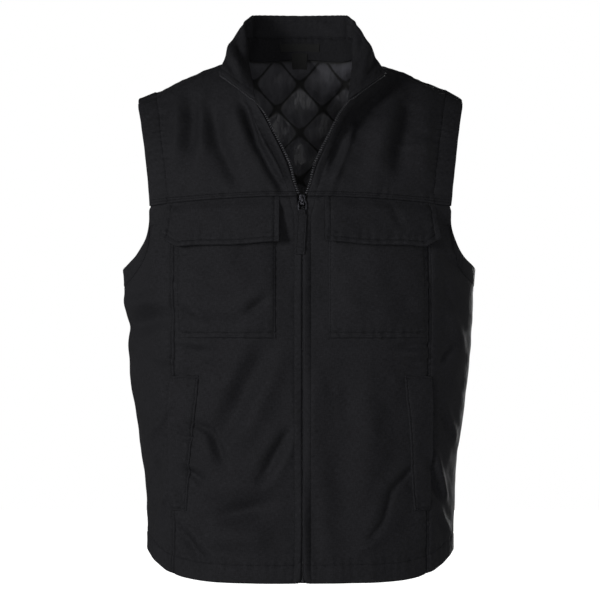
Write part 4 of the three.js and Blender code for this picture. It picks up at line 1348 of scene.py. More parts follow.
# %% Front panels
SHELL_THICK = 2
ZIP_STITCH, HEM_STITCH, SEAM_STITCH = 10.5, 24.5, 3
ROW_END, ROW_INSET = 1, 2  # mm that a row of stitches leaves free at its ends
FRONT_STEP = 3.1

for name, side in SIDES.items():
    panel = on_shoulder(side, front_panel, FRONT_STEP, left=ZIP_STITCH, low=HEM_STITCH)
    height = drape(panel.points) + folded(panel, "left", "low") + seam(panel, "right", "high")
    make_sheet(f"front_{name}", panel, height, SHELL_THICK, f"front_panel_{name}")
    rows = panel.lines(HEM_STITCH, ROW_INSET, "left") + panel.lines(ZIP_STITCH, ROW_END, "low")
    sewing[f"stitches_front_{name}"] = rows

# %% [markdown]
# ## The yokes
# The yoke carries the opened edge of the front, which rolls forward, and the front half of the armhole.
# Two rows of stitches lie just above its seam, where the cloth is doubled, and one row follows the armhole
# a thumb's width in.

# %% Front yokes
YOKE_STITCHES = (4.5, 8.5)
YOKE_LAP = 0.7  # mm, where the turned seam lies under the yoke
LAP_END = 12  # mm from the armhole, where the lap thins out
ARMHOLE_STITCH = 27
NECK_SEAM = 0.3  # of a seam's groove, where the collar fills it
EDGE_FADE = 0.06  # of the panel's height, from the opened edge to the neck seam
ABOVE_YOKE, UNDER_COLLAR = 10, 90  # mm that rows up the yoke leave at its seam and under the collar
YOKE_STEP = 2.8

for name, side in SIDES.items():
    rows = {"left": ZIP_STITCH, "right": ARMHOLE_STITCH, "low": YOKE_STITCHES}
    panel = on_shoulder(side, front_yoke(), YOKE_STEP, **rows)
    on_edge = 1 - smooth(panel.t, EDGE_SHARE - EDGE_FADE, EDGE_SHARE)
    height = drape(panel.points) + on_edge * folded(panel, "left")
    height += NECK_SEAM * (1 - on_edge) * seam(panel, "left") + folded(panel, "right") + seam(panel, "high")
    lap = YOKE_LAP * (1 - smooth(panel.low, *YOKE_STITCHES)) + folded(panel, "low")
    height += smooth(panel.right, 0, LAP_END) * lap
    make_sheet(f"yoke_{name}", panel, height, SHELL_THICK, f"front_yoke_{name}")
    rows = panel.lines(ROW_END, ROW_END, "low") + panel.lines(ABOVE_YOKE, ROW_END, "right")
    sewing[f"stitches_yoke_{name}"] = rows + panel.lines(ABOVE_YOKE, UNDER_COLLAR, "left")

# %% [markdown]
# ## The sides
# Each side panel wraps from the front seam to the back seam and is scooped out under the arm. Its seams are
# stitched down on this side only, so the rows of stitches belong to it and not to its neighbours.

# %% Side panels
SIDE_STEP = 3.5
PAST_YOKE = 24  # mm that the armhole's row leaves at the yoke

for name, side in SIDES.items():
    rows = {"left": SEAM_STITCH, "right": SEAM_STITCH, "low": HEM_STITCH, "high": ARMHOLE_STITCH}
    panel = on_body(side, side_panel(), SIDE_STEP, **rows)
    height = drape(panel.points) + folded(panel, "low")
    height += seam(panel, "left", "right") + stitched(panel, "left", "right")
    by_armhole = smooth(panel.s, YOKE_SHARE / 2, YOKE_SHARE)
    height += by_armhole * folded(panel, "high") + (1 - by_armhole) * seam(panel, "high")
    make_sheet(f"side_{name}", panel, height, SHELL_THICK, f"side_panel_{name}")
    rows = panel.lines(ROW_INSET, ROW_INSET, "left", "right") + panel.lines(ROW_END, ROW_END, "low")
    sewing[f"stitches_side_{name}"] = rows + panel.lines(PAST_YOKE, ROW_INSET, "high")

# %% [markdown]
# ## The back
# Nothing is sewn onto the back, so it is finished plainly: one panel over the shoulders, with the same hem
# and armhole stitches. Every part of it, down to the hem's stitches, is the same function as on the front.

# %% Back panel
BACK_STEP = 4.2
ARMHOLE_FADE = -0.01, 0.02  # of the panel's height, round the start of the armhole
NECK_FADE = 0.05  # of half its width, round the end of the neck seam

rows = {"left": ARMHOLE_STITCH, "right": ARMHOLE_STITCH, "low": HEM_STITCH}
panel = on_shoulder(1, back_panel(), BACK_STEP, **rows)
by_armhole = smooth(panel.t, *(LOWER_SHARE + fade for fade in ARMHOLE_FADE))
past_neck = smooth(np.abs(2 * panel.s - 1), NECK_SPAN - NECK_FADE, NECK_SPAN + NECK_FADE)
height = drape(panel.points) + folded(panel, "low")
height += lerp(NECK_SEAM, 1, past_neck) * seam(panel, "high")
height += by_armhole * folded(panel, "left", "right") + (1 - by_armhole) * seam(panel, "left", "right")
make_sheet("back", panel, height, SHELL_THICK, "back_panel")
lower_run = LOWER_SHARE * panel.flat[1] / MM
rows = panel.lines(ROW_END, ROW_END, "low") + panel.lines(lower_run, ROW_END, "left", "right")
sewing["stitches_back"] = rows

# %% [markdown]
# ## The pockets
# A patch pocket is a sheet sewn down on three sides, so it swells in the middle. It follows the hanging front
# under it, because both are raised by the same drape.

# %% Chest pockets
CHEST_POCKET = Sizes(inner=36, out=169, low=-376, high=-203, off=0.4, thick=1.2, swell=4.5)
OPEN_TOP = ("left", "right", "low")  # the edges that are turned and sewn
POCKET_STITCH, POCKET_HEM = 2.2, 7.4
POCKET_STEP = 2.8


def chest_pocket(s, t):
    """A rectangle on the front."""
    z = lerp(CHEST_POCKET.low, CHEST_POCKET.high, t)
    return on_front(lerp(CHEST_POCKET.inner, CHEST_POCKET.out, s), z)


def bulge(share):
    """A swell between two sewn edges: the square root of 4 u (1 - u)."""
    return np.sqrt(np.clip(4 * share * (1 - share), 0, 1))


def make_pocket(name, side):
    """A pocket that swells in the middle, with dents along its three sewn edges. Gives its stitch lines."""
    rows = {"left": POCKET_STITCH, "right": POCKET_STITCH, "low": POCKET_HEM}
    panel = on_shoulder(side, chest_pocket, POCKET_STEP, **rows)
    base = drape(panel.points) + CHEST_POCKET.off
    height = base + CHEST_POCKET.thick + CHEST_POCKET.swell * bulge(panel.s) * bulge(panel.t)
    height += turned(panel, *OPEN_TOP)
    thick = CHEST_POCKET.thick
    make_sheet(f"pocket_{name}", panel, height, thick, f"chest_pocket_{name}", OPEN_TOP)
    sides = panel.lines(POCKET_HEM, ROW_END, "left", "right")
    return sides + panel.lines(POCKET_STITCH, POCKET_STITCH, "low")


print("pockets are", CHEST_POCKET.out - CHEST_POCKET.inner, "mm wide")

# %% [markdown]
# The flap hangs from the yoke seam, cut off at the outer lower corner, and stands off the pocket enough to
# throw a shadow. A quite straight edge would look like cardboard, so it waves a little both ways.

# %% Pocket flaps
FLAP = Sizes(
    inner=31, out=183, low=-246, sag=7, chamfer=20, chamfer_rise=15,
    off=2.4, thick=2.4, swell=2.4, root=0.9, root_run=16,
    stand=11.0, curl=1.5, wave=0.3,  # the lower edge's way off the pocket, its power and its wave
    ripple=0.9, ripples=3, ripple_start=1,  # the lower edge's wave up and down
)
FLAP_STITCH = 7


def pocket_flap(s, t):
    """A strip under the yoke seam whose lower edge falls outwards, with its outer corner cut off aslant."""
    x = lerp(FLAP.inner, FLAP.out, s)
    cut = np.maximum(0, 1 - (FLAP.out - x) / FLAP.chamfer)
    ripple = FLAP.ripple * np.sin(FLAP.ripples * np.pi * s + FLAP.ripple_start)
    low = FLAP.low - FLAP.sag * s + FLAP.chamfer_rise * cut + ripple
    return on_front(x, lerp(low, yoke_at(x) - SEAM_GAP, t))


def make_flap(name, side):
    """A flap that is thin at its root and stands off as a power of the way down. Gives its stitch lines."""
    panel = on_shoulder(side, pocket_flap, POCKET_STEP, **dict.fromkeys(OPEN_TOP, FLAP_STITCH))
    wave = 1 + FLAP.wave * np.cos(2 * np.pi * panel.s)
    stand = FLAP.stand * (1 - panel.t) ** FLAP.curl * wave
    swell = FLAP.swell * bulge(panel.s) * bulge(panel.t)
    free = smooth(panel.high, 0, FLAP.root_run)
    height = drape(panel.points) + lerp(FLAP.root, FLAP.off + FLAP.thick, free) + stand + swell
    height += folded(panel, "low") + stitched(panel, "left", "right")
    thick = lerp(FLAP.root, FLAP.thick, free)
    make_sheet(f"flap_{name}", panel, height, thick, f"pocket_flap_{name}", OPEN_TOP)
    sides = panel.lines(FLAP_STITCH, ROW_END, "left", "right")
    return sides + panel.lines(FLAP_STITCH, FLAP_STITCH, "low")


print("flaps stand", FLAP.stand, "mm off at the lower edge")

# %% [markdown]
# The hand pocket's welt is a folded strip, sewn down on three sides, whose outer edge is open. The three
# kinds are then made side by side, and their rows of stitches are put aside together.

# %% Welts, and all pockets
WELT = Sizes(out=178, in_top=141, in_low=156, low=-613, high=-428, off=0.4, thick=1.6, stand=4.0)
OPEN_SIDE = ("left", "low", "high")
WELT_STITCH = 3


def hand_pocket_welt(s, t):
    """A strip beside the side seam that narrows downwards."""
    inner = lerp(WELT.in_low, WELT.in_top, t)
    return on_front(lerp(inner, WELT.out, s), lerp(WELT.low, WELT.high, t))


def make_welt(name, side):
    """A welt whose open edge stands off in the middle. Gives its stitch lines."""
    panel = on_shoulder(side, hand_pocket_welt, POCKET_STEP, **dict.fromkeys(OPEN_SIDE, WELT_STITCH))
    height = drape(panel.points) + WELT.off + WELT.thick + WELT.stand * panel.s * bulge(panel.t)
    height += turned(panel, *OPEN_SIDE)
    make_sheet(f"welt_{name}", panel, height, WELT.thick, f"hand_pocket_welt_{name}")
    return panel.lines(ROW_INSET, ROW_INSET, "left") + panel.lines(WELT_STITCH, ROW_END, "low", "high")


for name, side in SIDES.items():
    lines = [make(name, side) for make in (make_pocket, make_flap, make_welt)]
    sewing[f"stitches_pockets_{name}"] = sum(lines, [])

# %% [markdown]
# ## The quilted lining
# Satin is quilted to wadding along two sets of slanted lines, so it puffs up in diamonds. The puff is a
# product of two sines, one for each set of lines, and a root of it gives steep sides at the stitches and a
# full middle. Small creases run in from the stitched lines.

# %% Quilting
PUFF_CREASE = Sizes(height=0.12, count=9, stray=2, strays=3, reach=0.5)


def quilt_run(points):
    """Where each point lies on the quilted cloth: how far across, and how far up. Round the body's side the
    way across is mended with half the depth."""
    x, y, z = np.moveaxis(points, -1, 0)
    across = np.where(np.abs(x) > SIDE_SEAM_X, x + np.sign(x) * (np.abs(y) - FORM_DEPTH) / 2, x)
    return np.stack([across, z + QUILT.start], -1)


def puff_creases(along, line):
    """Creases beside a set of lines: a sine that strays, fading with the sine of the way across."""
    stray = PUFF_CREASE.stray * np.sin(PUFF_CREASE.strays * line)
    fade = bell(np.sin(line), PUFF_CREASE.reach)
    return PUFF_CREASE.height * np.sin(PUFF_CREASE.count * along + stray) * fade


def quilt(run):
    """Puffed diamonds, a root of |sin a sin b| with a and b the slanted lines, creased near the lines."""
    across, up = run[..., 0] / QUILT.wide, run[..., 1] / QUILT.tall
    a, b = np.pi * (across + up), np.pi * (across - up)
    blunt = QUILT.blunt
    puff = np.maximum(np.hypot(np.sin(a) * np.sin(b), blunt) - blunt, 0) ** QUILT.power
    return puff * (1 + puff_creases(a, b) + puff_creases(b, a))


print("diamonds are", QUILT.wide, "by", QUILT.tall, "mm")

# %% [markdown]
# The lining is cut in five pieces that lie under the shell, on the same form. Its front pieces start where
# the facing beside the zip ends, and all of them start above the hem.

# %% Charts of the lining
LINING_START = 31  # mm from the zip's edge, where the facing ends
LINING_GAPS = 3  # seam gaps between front and back lining at the shoulder
SCOOP_INSET = 0.003  # of the underarm, at either end


def beside_opening(share, distance, hem_lift):
    """A line beside the opening, from the hem to the shoulder. It keeps level with the edge, and above
    the neck seam it keeps the seam's roll."""
    z = lerp(HEM.z + hem_lift, YOKE.z + HALF_GAP, np.minimum(share / LOWER_SHARE, 1))
    up = np.maximum(share - LOWER_SHARE, 0) / (1 - LOWER_SHARE)
    x, roll = open_edge(up)
    level = roll_at(x + distance, ridge(x) - drop_of(roll), True)
    above = x + distance, lerp(level, roll, np.minimum(up / EDGE_SHARE, 1))
    below = on_front(opening_at(z) + distance, z)
    return [np.where(np.greater(share, LOWER_SHARE), *pair) for pair in zip(above, below)]


def front_lining():
    """From the facing to the bent seam and the armhole."""
    seam_x = SIDE_SEAM_X - HALF_GAP
    start_x, end_x = (beside_opening(share, LINING_START, HEM.depth)[0] for share in (0.0, 1.0))
    top_roll = SHOULDER_SEAM - LINING_GAPS * SEAM_GAP / FORM_DEPTH

    def bottom(s):
        """Along the hem, a hem's depth above it."""
        x = lerp(start_x, seam_x, s)
        return on_front(x, hem_under(x) + HEM.depth)

    return spanned(
        bottom,
        top=lambda s: (lerp(end_x, ARMHOLE.tip_x - HALF_GAP, s), top_roll),
        left=lambda t: beside_opening(t, LINING_START, HEM.depth),
        right=lambda t: seam_and_armhole(t, True, hem_under(seam_x) + HEM.depth, HALF_GAP),
    )


def side_lining():
    """Round the side between two bent seams, with the underarm as its top."""
    def seam_angle(z, front):
        """The bent seam's angle round the body."""
        return angle_at(bent_seam_x(z, front) + SEAM_GAP, z)

    low = seam_angle(HEM.z, True), np.pi - seam_angle(HEM.z, False)
    low_z = hem_at(low[0]) + HEM.depth
    return spanned(
        bottom=lambda s: (lerp(*low, s), hem_at(lerp(*low, s)) + HEM.depth),
        top=lambda s: scoop(lerp(SCOOP_INSET, 1 - SCOOP_INSET, s), BENT_END_Z, BENT_END_Z),
        left=lambda t: (seam_angle(lerp(low_z, BENT_END_Z, t), True), lerp(low_z, BENT_END_Z, t)),
        right=lambda t: (np.pi - seam_angle(lerp(low_z, BENT_END_Z, t), False), lerp(low_z, BENT_END_Z, t)),
    )


def back_lining():
    """The back panel's chart from a little above the hem."""
    chart = back_panel()
    low = LOWER_SHARE * HEM.depth / (BENT_END_Z - HEM.z)
    return lambda s, t: chart(s, lerp(low, 1, t))


print("the lining ends", HEM.depth, "mm above the hem")

# %% [markdown]
# Each piece is a closed pad: flat on the side of the shell, puffed on the inside, and pinched at its edges,
# where the real one is sewn in. It keeps clear of the grooves that the shell's seams press inwards.

# %% Lining
LINING = Sizes(off=2.3, under_seam=4.0, sunk=1.0, pinch=1.2, thick=0.4, puff=9.5, edge=9)
BACK_LINING_STEP, LINING_STEP = 3.2, 4.0
LINING_FADE = -0.03, 0.01  # of the panel's height, round the start of the armhole
FAR = 1e3  # mm


def line_with_satin(name, panel, node, armhole):
    """A quilted pad under the shell, pinched flat at its edges, where its colour is painted darker as shade.
    It keeps below the seams' grooves, and comes up to the shell at the armhole, whose distance from each
    point is given."""
    nearest = np.minimum(np.minimum(panel.left, panel.right), np.minimum(panel.low, panel.high))
    inside = 1 - np.exp(-nearest / LINING.edge)
    off = lerp(LINING.under_seam, LINING.off, np.exp(-armhole / LINING.edge))
    outer = np.minimum(drape(panel.points), 0) - off - LINING.sunk * inside
    run = quilt_run(panel.points)
    puff = LINING.pinch + inside * (LINING.thick + LINING.puff * quilt(run))
    # how near each point is to the edge, which darkens the satin's colour there: painted shade
    edge = np.exp(-nearest / LINING.pinch)
    piece = wall(name, panel.raised(outer), panel.raised(outer - puff), run * MM, edge)
    dress(piece, SATIN, "quilted_satin", node)


def above(panel, distance):
    """A distance from an edge that counts only past the lower share of the panel's height."""
    return distance + FAR * (1 - smooth(panel.t, *(LOWER_SHARE + fade for fade in LINING_FADE)))


panel = on_shoulder(1, back_lining(), BACK_LINING_STEP)
line_with_satin("satin_back", panel, "lining_back", above(panel, np.minimum(panel.left, panel.right)))
for name, side in SIDES.items():
    panel = on_shoulder(side, front_lining(), LINING_STEP)
    line_with_satin(f"satin_front_{name}", panel, f"lining_front_{name}", above(panel, panel.right))
    panel = on_body(side, side_lining(), LINING_STEP)
    line_with_satin(f"satin_side_{name}", panel, f"lining_side_{name}", panel.high)

# %% [markdown]
# ## The collar
# The collar is a padded stand: lined canvas, straight at the back of the neck, rolled open at the front
# corners. It runs from the neck seam to its top edge as straight lines that lean out, with a swell, so a
# table of the top edge is enough to shape it. It takes half of the shell's folds, and has some of its own.

# %% Collar
COLLAR_TOP = table(
    "at x y z swell",
    (-0.24, -44, 53, 82, -2), (0, 0, 57, 82, -2), (0.24, 44, 53, 82, -2), (0.42, 65.5, 37, 80, -1),
    (0.55, 71.5, 10, 75, 1), (0.7, 83, -13, 55, 5), (0.85, 98.5, -37, 20, 9), (1, 113, -60, -12, 9),
)
COLLAR = Sizes(foot=0.012, tuck=-0.03, off=0.4, thick=4, swell=1.0, pad_run=40, dent=0.5)
COLLAR_HANG = 0.5  # of the shell's folds
OPEN_FOOT = ("left", "right", "high")  # the edges that are sewn
COLLAR_STITCH = 6.5
COLLAR_STEP = 2.6
COLLAR_ROUND, COLLAR_TALL = 200, 80  # mm from the centre back to the corner, and from foot to top
COLLAR_FOLDS = np.array((  # how far round and up each line starts and ends, width and height
    (122, 84, 128, 20, 7, 4.6), (136, 84, 150, 10, 8, -4.4), (150, 70, 168, 16, 7, 4),
    (112, 74, 106, 30, 7, -2.4), (164, 84, 182, 30, 7, -3.6), (178, 80, 192, 40, 5, 2.6),
    (60, 70, 84, 52, 7, 1.6), (20, 74, 48, 60, 8, -1.4),
))
SHIFT_FROM = 0.8  # of the way round, where the top edge begins to shift with the front
NECK_CENTRE = (0, 0, 40)
FLAT_NUDGE = (1e-3, 1e-3)  # small steps in shares of a patch, to measure slopes


def collar_at(around, up):
    """A point of the collar: straight from the neck seam to the top edge, swelled as 4 u (1 - u)."""
    reach = np.abs(around)
    x, roll = neck_at(reach)
    foot = over_shoulder(np.sign(around) * x, roll)
    row = {column: curve_at(COLLAR_TOP, "at", column, reach) for column in ("x", "y", "z", "swell")}
    top_x = np.sign(around) * row["x"] + FRONT_SHIFT * smooth(reach, SHIFT_FROM, 1)
    top_y = row["y"] - row["swell"] * 4 * (1 - up)
    top = points_of(top_x, top_y, row["z"])
    return lerp(foot, top, np.asarray(up)[..., None])


def on_collar(reach, foot, head, step, **stitches):
    """A panel on the collar, reaching as far round to both sides and between two shares of its height."""
    return Panel(
        lambda s, t: collar_at(reach * (2 * s - 1), lerp(foot, head, t)), lambda s, t: (s, t),
        FLAT_NUDGE, step, NECK_CENTRE, **stitches,
    )


panel = on_collar(1, COLLAR.tuck, 1, COLLAR_STEP, **dict.fromkeys(OPEN_FOOT, COLLAR_STITCH))
dents = COLLAR.dent * stitched(panel, *OPEN_FOOT)
pad = COLLAR.swell * bulge(np.clip(panel.low / COLLAR.pad_run, 0, 0.5))
hung = drape(panel.points) * COLLAR_HANG - COLLAR.off
for *line, width, height in COLLAR_FOLDS:
    hung += fold(np.abs(2 * panel.s - 1) * COLLAR_ROUND, panel.t * COLLAR_TALL, line, width, height)
panel.top = panel.raised(hung + pad + dents)
under = panel.raised(hung - dents - COLLAR.thick)
piece = wall("stand_collar", panel.top, under, panel.uv, worn(panel, OPEN_FOOT))
dress(piece, CANVAS, "canvas", "collar")
rows = panel.lines(COLLAR_STITCH, COLLAR_STITCH, "high")
sewing["stitches_collar"] = rows + panel.lines(ROW_INSET, COLLAR_STITCH, "left", "right")

# %% [markdown]
# Inside the neck a band of shell cloth covers the seam. A plain label and a small tab are sewn to it, left
# bare. All three lie on the collar's own surface, each a little deeper, so the same function places them.

# %% Neck band and labels
NECK_BAND = Sizes(reach=0.62, low=-0.08, top=0.5, depth=5.2, thick=1.2, tuck=2.4, tuck_run=12)
LABELS = {"neck_label": (0.175, 0.12, 0.31), "size_tab": (0.07, -0.34, 0.06)}  # reach round, foot and head
LABEL_DEPTH, LABEL_THICK, LABEL_STEP = 6.8, 0.6, 1.2
BAND_STITCH = 2

panel = on_collar(NECK_BAND.reach, NECK_BAND.low, NECK_BAND.top, COLLAR_STEP, high=BAND_STITCH)
at_ends = 1 - smooth(np.minimum(panel.left, panel.right), 0, NECK_BAND.tuck_run)
depth = NECK_BAND.depth - drape(panel.points) * COLLAR_HANG - NECK_BAND.tuck * at_ends
thick = NECK_BAND.thick + stitched(panel, "high")
make_sheet("band", panel, -depth, thick, "neck_band", (), INSIDE)
panel.top = panel.raised(-depth - thick)
sewing["stitches_band"] = [(at, -normal) for at, normal in panel.lines(ROW_INSET, ROW_INSET, "high")]

for node, at in LABELS.items():
    panel = on_collar(*at, LABEL_STEP)
    inner = drape(panel.points) * COLLAR_HANG - LABEL_DEPTH
    look = LABEL_CLOTH, "label_cloth"
    make_sheet(f"bare_{node}", panel, inner, LABEL_THICK, node, (), look)

# %% [markdown]
# ## The zip
# Behind each front edge lie the tape and a facing of shell cloth. They are strips that keep a distance
# from the edge, so one chart draws both. Where the zip is undone the tape comes out past the cloth's edge.

# %% Tape and facing
FACING = Sizes(start=3.5, end=29.5, off=4.0, thick=1.5, reach=0, bare=0)
TAPE = Sizes(start=1.0, end=12, off=2.8, thick=0.8, reach=3.6, parted_off=5, bare=5.2, lift=1.4, curl=4)
FACING_STEP, TAPE_STEP = 3.2, 2.0
FACING_STITCH = 3
PARTED_SHARE = 0.09  # of the opening, from the hem up
TAPE_SHARE = lerp(LOWER_SHARE, 1, EDGE_SHARE)  # of the opening, from the hem to the collar
BARED = 0.12, 0.35, 0.85, 1.0  # of the opened edge, where the tape starts to show, shows, and goes in again


def bared(up):
    """How much of the tape shows: it comes out above the slider, and goes in at the collar."""
    rise, full, fall, end = BARED
    return smooth(up, rise, full) * (1 - smooth(up, fall, end))


def up_edge(share):
    """The share of the opened edge above the yoke seam, for a share of the opening."""
    return (share - LOWER_SHARE) / (TAPE_SHARE - LOWER_SHARE)


def parted(share):
    """How far the edges part below the zip's end, from 1 at the hem to 0."""
    return 1 - smooth(share, 0, PARTED_SHARE)


def strip(size, share):
    """A chart of a strip beside the opening, between two distances from its edge. It reaches further in at
    the hem, where the edges part, and where it is bare above the slider."""
    def chart(s, t):
        """A point of the strip from shares of its width and length."""
        out = size.reach * parted(t * share) + size.bare * bared(up_edge(t * share))
        return beside_opening(t * share, lerp(size.start - out, size.end, s), 0)
    return chart


for name, side in SIDES.items():
    panel = on_shoulder(side, strip(FACING, 1), FACING_STEP, right=FACING_STITCH)
    hung = np.minimum(drape(panel.points), 0) - FACING.off
    node = f"front_facing_{name}"
    make_sheet(f"facing_{name}", panel, hung, FACING.thick, node, (), INSIDE)

    panel = on_shoulder(side, strip(TAPE, TAPE_SHARE), TAPE_STEP)
    share = panel.t * TAPE_SHARE
    hung = np.minimum(drape(panel.points), 0) - TAPE.off - TAPE.parted_off * parted(share)
    hung += TAPE.lift * bared(up_edge(share)) * (1 - panel.s) ** TAPE.curl
    look = ZIP_TAPE, "zip_tape"
    make_sheet(f"tape_{name}", panel, hung, TAPE.thick, f"zip_tape_{name}", (), look)

# %% [markdown]
# A moulded tooth is a small rounded block across the edge. An array modifier would keep one direction, but
# the edge turns. So all teeth of a side are one mesh: a superellipsoid of a few dozen faces, placed by three
# directions at each point of the edge.

# %% Rounded blocks
BLOCK_TILT = 1.2  # the highest ring's angle, past which a flat cap closes the block
TOOTH_BLOCK = 8, 4, 3.2  # points round, rings and power


def signed_power(value, power):
    """The size of a value raised to a power, with the value's own sign."""
    return np.sign(value) * np.abs(value) ** power


def rounded_block(around, rings, power):
    """A superellipsoid: cosines and sines of two angles, each raised to 2 / power, with flat caps."""
    turn = 2 * np.pi * np.arange(around)[None, :] / around
    tilt = np.linspace(-BLOCK_TILT, BLOCK_TILT, rings)[:, None]
    out, rise = signed_power(np.cos(tilt), 2 / power), signed_power(np.sin(tilt), 2 / power)
    ways = signed_power(np.cos(turn), 2 / power), signed_power(np.sin(turn), 2 / power)
    points = points_of(out * ways[0], out * ways[1], rise)
    return points.reshape(-1, 3), capped(rings, around)


def place_blocks(name, centres, frames, size):
    """Copies of one rounded block, each turned by its own three directions, joined in one mesh."""
    points, faces = rounded_block(*TOOTH_BLOCK)
    made = centres[:, None] + np.einsum("pk,nkj->npj", points * size, frames)
    return make_piece(name, made.reshape(-1, 3), copied(faces, len(centres), len(points)))


print("a tooth has", TOOTH_BLOCK[0] * TOOTH_BLOCK[1], "points")

# %% [markdown]
# Above the slider each row of teeth follows the yoke's edge, then the collar's. Below it the two rows mesh
# in one chain, where every other tooth comes from the other side.

# %% Teeth
TOOTH = Sizes(across=2.0, along=0.9, thick=1.3, pitch=3.2, clear=2.1, turning=1.2, bare=2.6)
TEETH_TURN = Sizes(start=0.4, end=0.6, reach=0.15)  # of the line, where it passes on to the collar
TEETH_SAMPLES, TEETH_PROBE = 400, 0.8
EDGE_STEP = 1e-3  # share of a panel, to find the way out of its edge
SLIDER = Sizes(width=7.6, height=14, top=-181.5, front=2.4, back=-4)
CHAIN = Sizes(depth=4.0, pitch=2.0, aside=0.75, along=0.55, thick=1.2, foot=2, head=1)


def teeth_line(side, t):
    """The line of the teeth beside the yoke's front edge, then the collar's, and the way out of the cloth."""
    chart = front_yoke()
    start = EDGE_SHARE * (SLIDER.top + SEAM_GAP - YOKE.z) / (NECK_END_Z - YOKE.z)
    on_yoke = lerp(start, EDGE_SHARE, np.minimum(2 * t, 1))
    up_collar = lerp(COLLAR.foot, 1, np.maximum(2 * t - 1, 0))

    def both(s):
        """Points a share inside the yoke's edge and inside the collar's."""
        x, roll = chart(s, on_yoke)
        return over_shoulder(side * x, roll), collar_at(side * (1 - s), up_collar)

    edges = both(0.0)
    ways = [unit(edge - inner) for edge, inner in zip(edges, both(EDGE_STEP))]
    free = unit(lerp(*ways, smooth(t, TEETH_TURN.start, TEETH_TURN.end)[:, None]))
    turning = TOOTH.turning * (1 - smooth(np.abs(t - 0.5), 0, TEETH_TURN.reach))
    clear = TOOTH.clear + turning + TOOTH.bare * bared(on_yoke / EDGE_SHARE)
    edge = np.where((t < 0.5)[:, None], *edges)
    return edge + free * clear[:, None], free


for name, side in SIDES.items():
    line, free = teeth_line(side, np.linspace(0, 1, TEETH_SAMPLES))
    at, run = along_line(line, TOOTH.pitch)
    way = way_along(line, run, at, TEETH_PROBE)
    across = unit(read_line(free, run, at))
    frames = np.stack([across, way, np.cross(across, way)], 1)
    size = TOOTH.across, TOOTH.along, TOOTH.thick
    piece = place_blocks(f"teeth_{name}", read_line(line, run, at), frames, size)
    dress(piece, ZIP_TEETH, "zip_teeth", f"zip_teeth_{name}")


def centre_front(z):
    """The middle of the front at a height."""
    return over_shoulder(np.zeros_like(z), roll_at(0.0, z, True))


chain_top = SLIDER.top - SLIDER.height - CHAIN.head
chain_z = np.arange(HEM.z + CHAIN.foot, chain_top, CHAIN.pitch / 2)
odd = np.where(np.arange(len(chain_z)) % 2, 1.0, -1.0)
centres = centre_front(chain_z) + points_of(CHAIN.aside * odd, CHAIN.depth, 0)
frames = np.broadcast_to(np.array([(1.0, 0, 0), (0, 0, 1), (0, -1, 0)]), (len(centres), 3, 3))
piece = place_blocks("teeth_closed", centres, frames, (TOOTH.across, CHAIN.along, CHAIN.thick))
dress(piece, ZIP_TEETH, "zip_teeth", "zip_chain")

# %% [markdown]
# The slider is two plates joined by a post, with a bridge on the front that holds the pull. Its shapes are
# rounded blocks again, and a flat loop: an oval carried along a path. They are joined in one mesh, because
# on the real slider they are one casting.

# %% Slider
PLATE = Sizes(block=(28, 9, 4), thick=1.3, taper=0.22, stretch=(1, 1, 1.07), back=0.6)
POST = Sizes(block=(12, 5, 3), size=(1.4, 2.6, 2.2), back=0.8, below_top=3)
BRIDGE = Sizes(out=3.8, rise=4.4, sunk=0.6, wide=1.5, thick=0.55, points=25)
BRIDGE_POWERS = 0.6, 0.8  # of the way out and of the rise
SLIDER_AT = centre_front(np.array(SLIDER.top - SLIDER.height))


def tube(path, up, wide, thick, sides=10, closed=False):
    """An oval section carried along a path: wide across the given direction and thick along the other one."""
    way = unit(np.gradient(path, axis=0) if not closed else np.roll(path, -1, 0) - np.roll(path, 1, 0))
    side = unit(np.broadcast_to(up, path.shape))
    other = unit(np.cross(way, side))
    turn = 2 * np.pi * np.arange(sides)[None, :, None] / sides
    rings = path[:, None] + side[:, None] * wide * np.cos(turn) + other[:, None] * thick * np.sin(turn)
    faces, low, high = capped(len(path), sides)
    first, last = low[0, ::-1], high[0]
    around = np.stack([last, np.roll(last, -1), np.roll(first, -1), first], -1)
    return rings.reshape(-1, 3), [faces, around] if closed else [faces, low, high]


def joined(name, parts):
    """Several sets of points and faces in one mesh."""
    first = np.cumsum([0] + [len(points) for points, _ in parts])
    faces = [face + start for (_, group), start in zip(parts, first) for face in group]
    return make_piece(name, np.concatenate([points for points, _ in parts]), faces)


def plate(forward):
    """A slider plate: a rounded block, narrower at its foot, set forward of the cloth."""
    points, faces = rounded_block(*PLATE.block)
    taper = points_of(1 + PLATE.taper * points[:, 2], 1, 1)
    half = np.array((SLIDER.width / 2, PLATE.thick / 2, SLIDER.height / 2))
    points = points * half * taper * PLATE.stretch
    return points + SLIDER_AT + (0, -forward, SLIDER.height / 2), faces


def post():
    """The post between the plates, near the top."""
    points, faces = rounded_block(*POST.block)
    return points * POST.size + SLIDER_AT + (0, POST.back, SLIDER.height - POST.below_top), faces


def bridge():
    """A flat loop from the top of the front plate to its foot: half a superellipse seen from the side."""
    turn = np.linspace(-np.pi / 2, np.pi / 2, BRIDGE.points)
    out = BRIDGE.out * np.abs(np.cos(turn)) ** BRIDGE_POWERS[0]
    rise = BRIDGE.rise * signed_power(np.sin(turn), BRIDGE_POWERS[1])
    path = points_of(0, BRIDGE.sunk - SLIDER.front - out, rise + SLIDER.height / 2)
    return tube(SLIDER_AT + path, (1.0, 0, 0), BRIDGE.wide, BRIDGE.thick)


plates = plate(SLIDER.front - PLATE.thick / 2), plate(SLIDER.back + PLATE.back)
dress(joined("slider", [*plates, post(), bridge()]), ZIP_METAL, "zip_metal", "zip_slider")

# %% [markdown]
# A flat ring of wire hangs in the bridge and takes the strap. A torus would be round, and this one is nearly
# a rectangle, so a superellipse is its path.

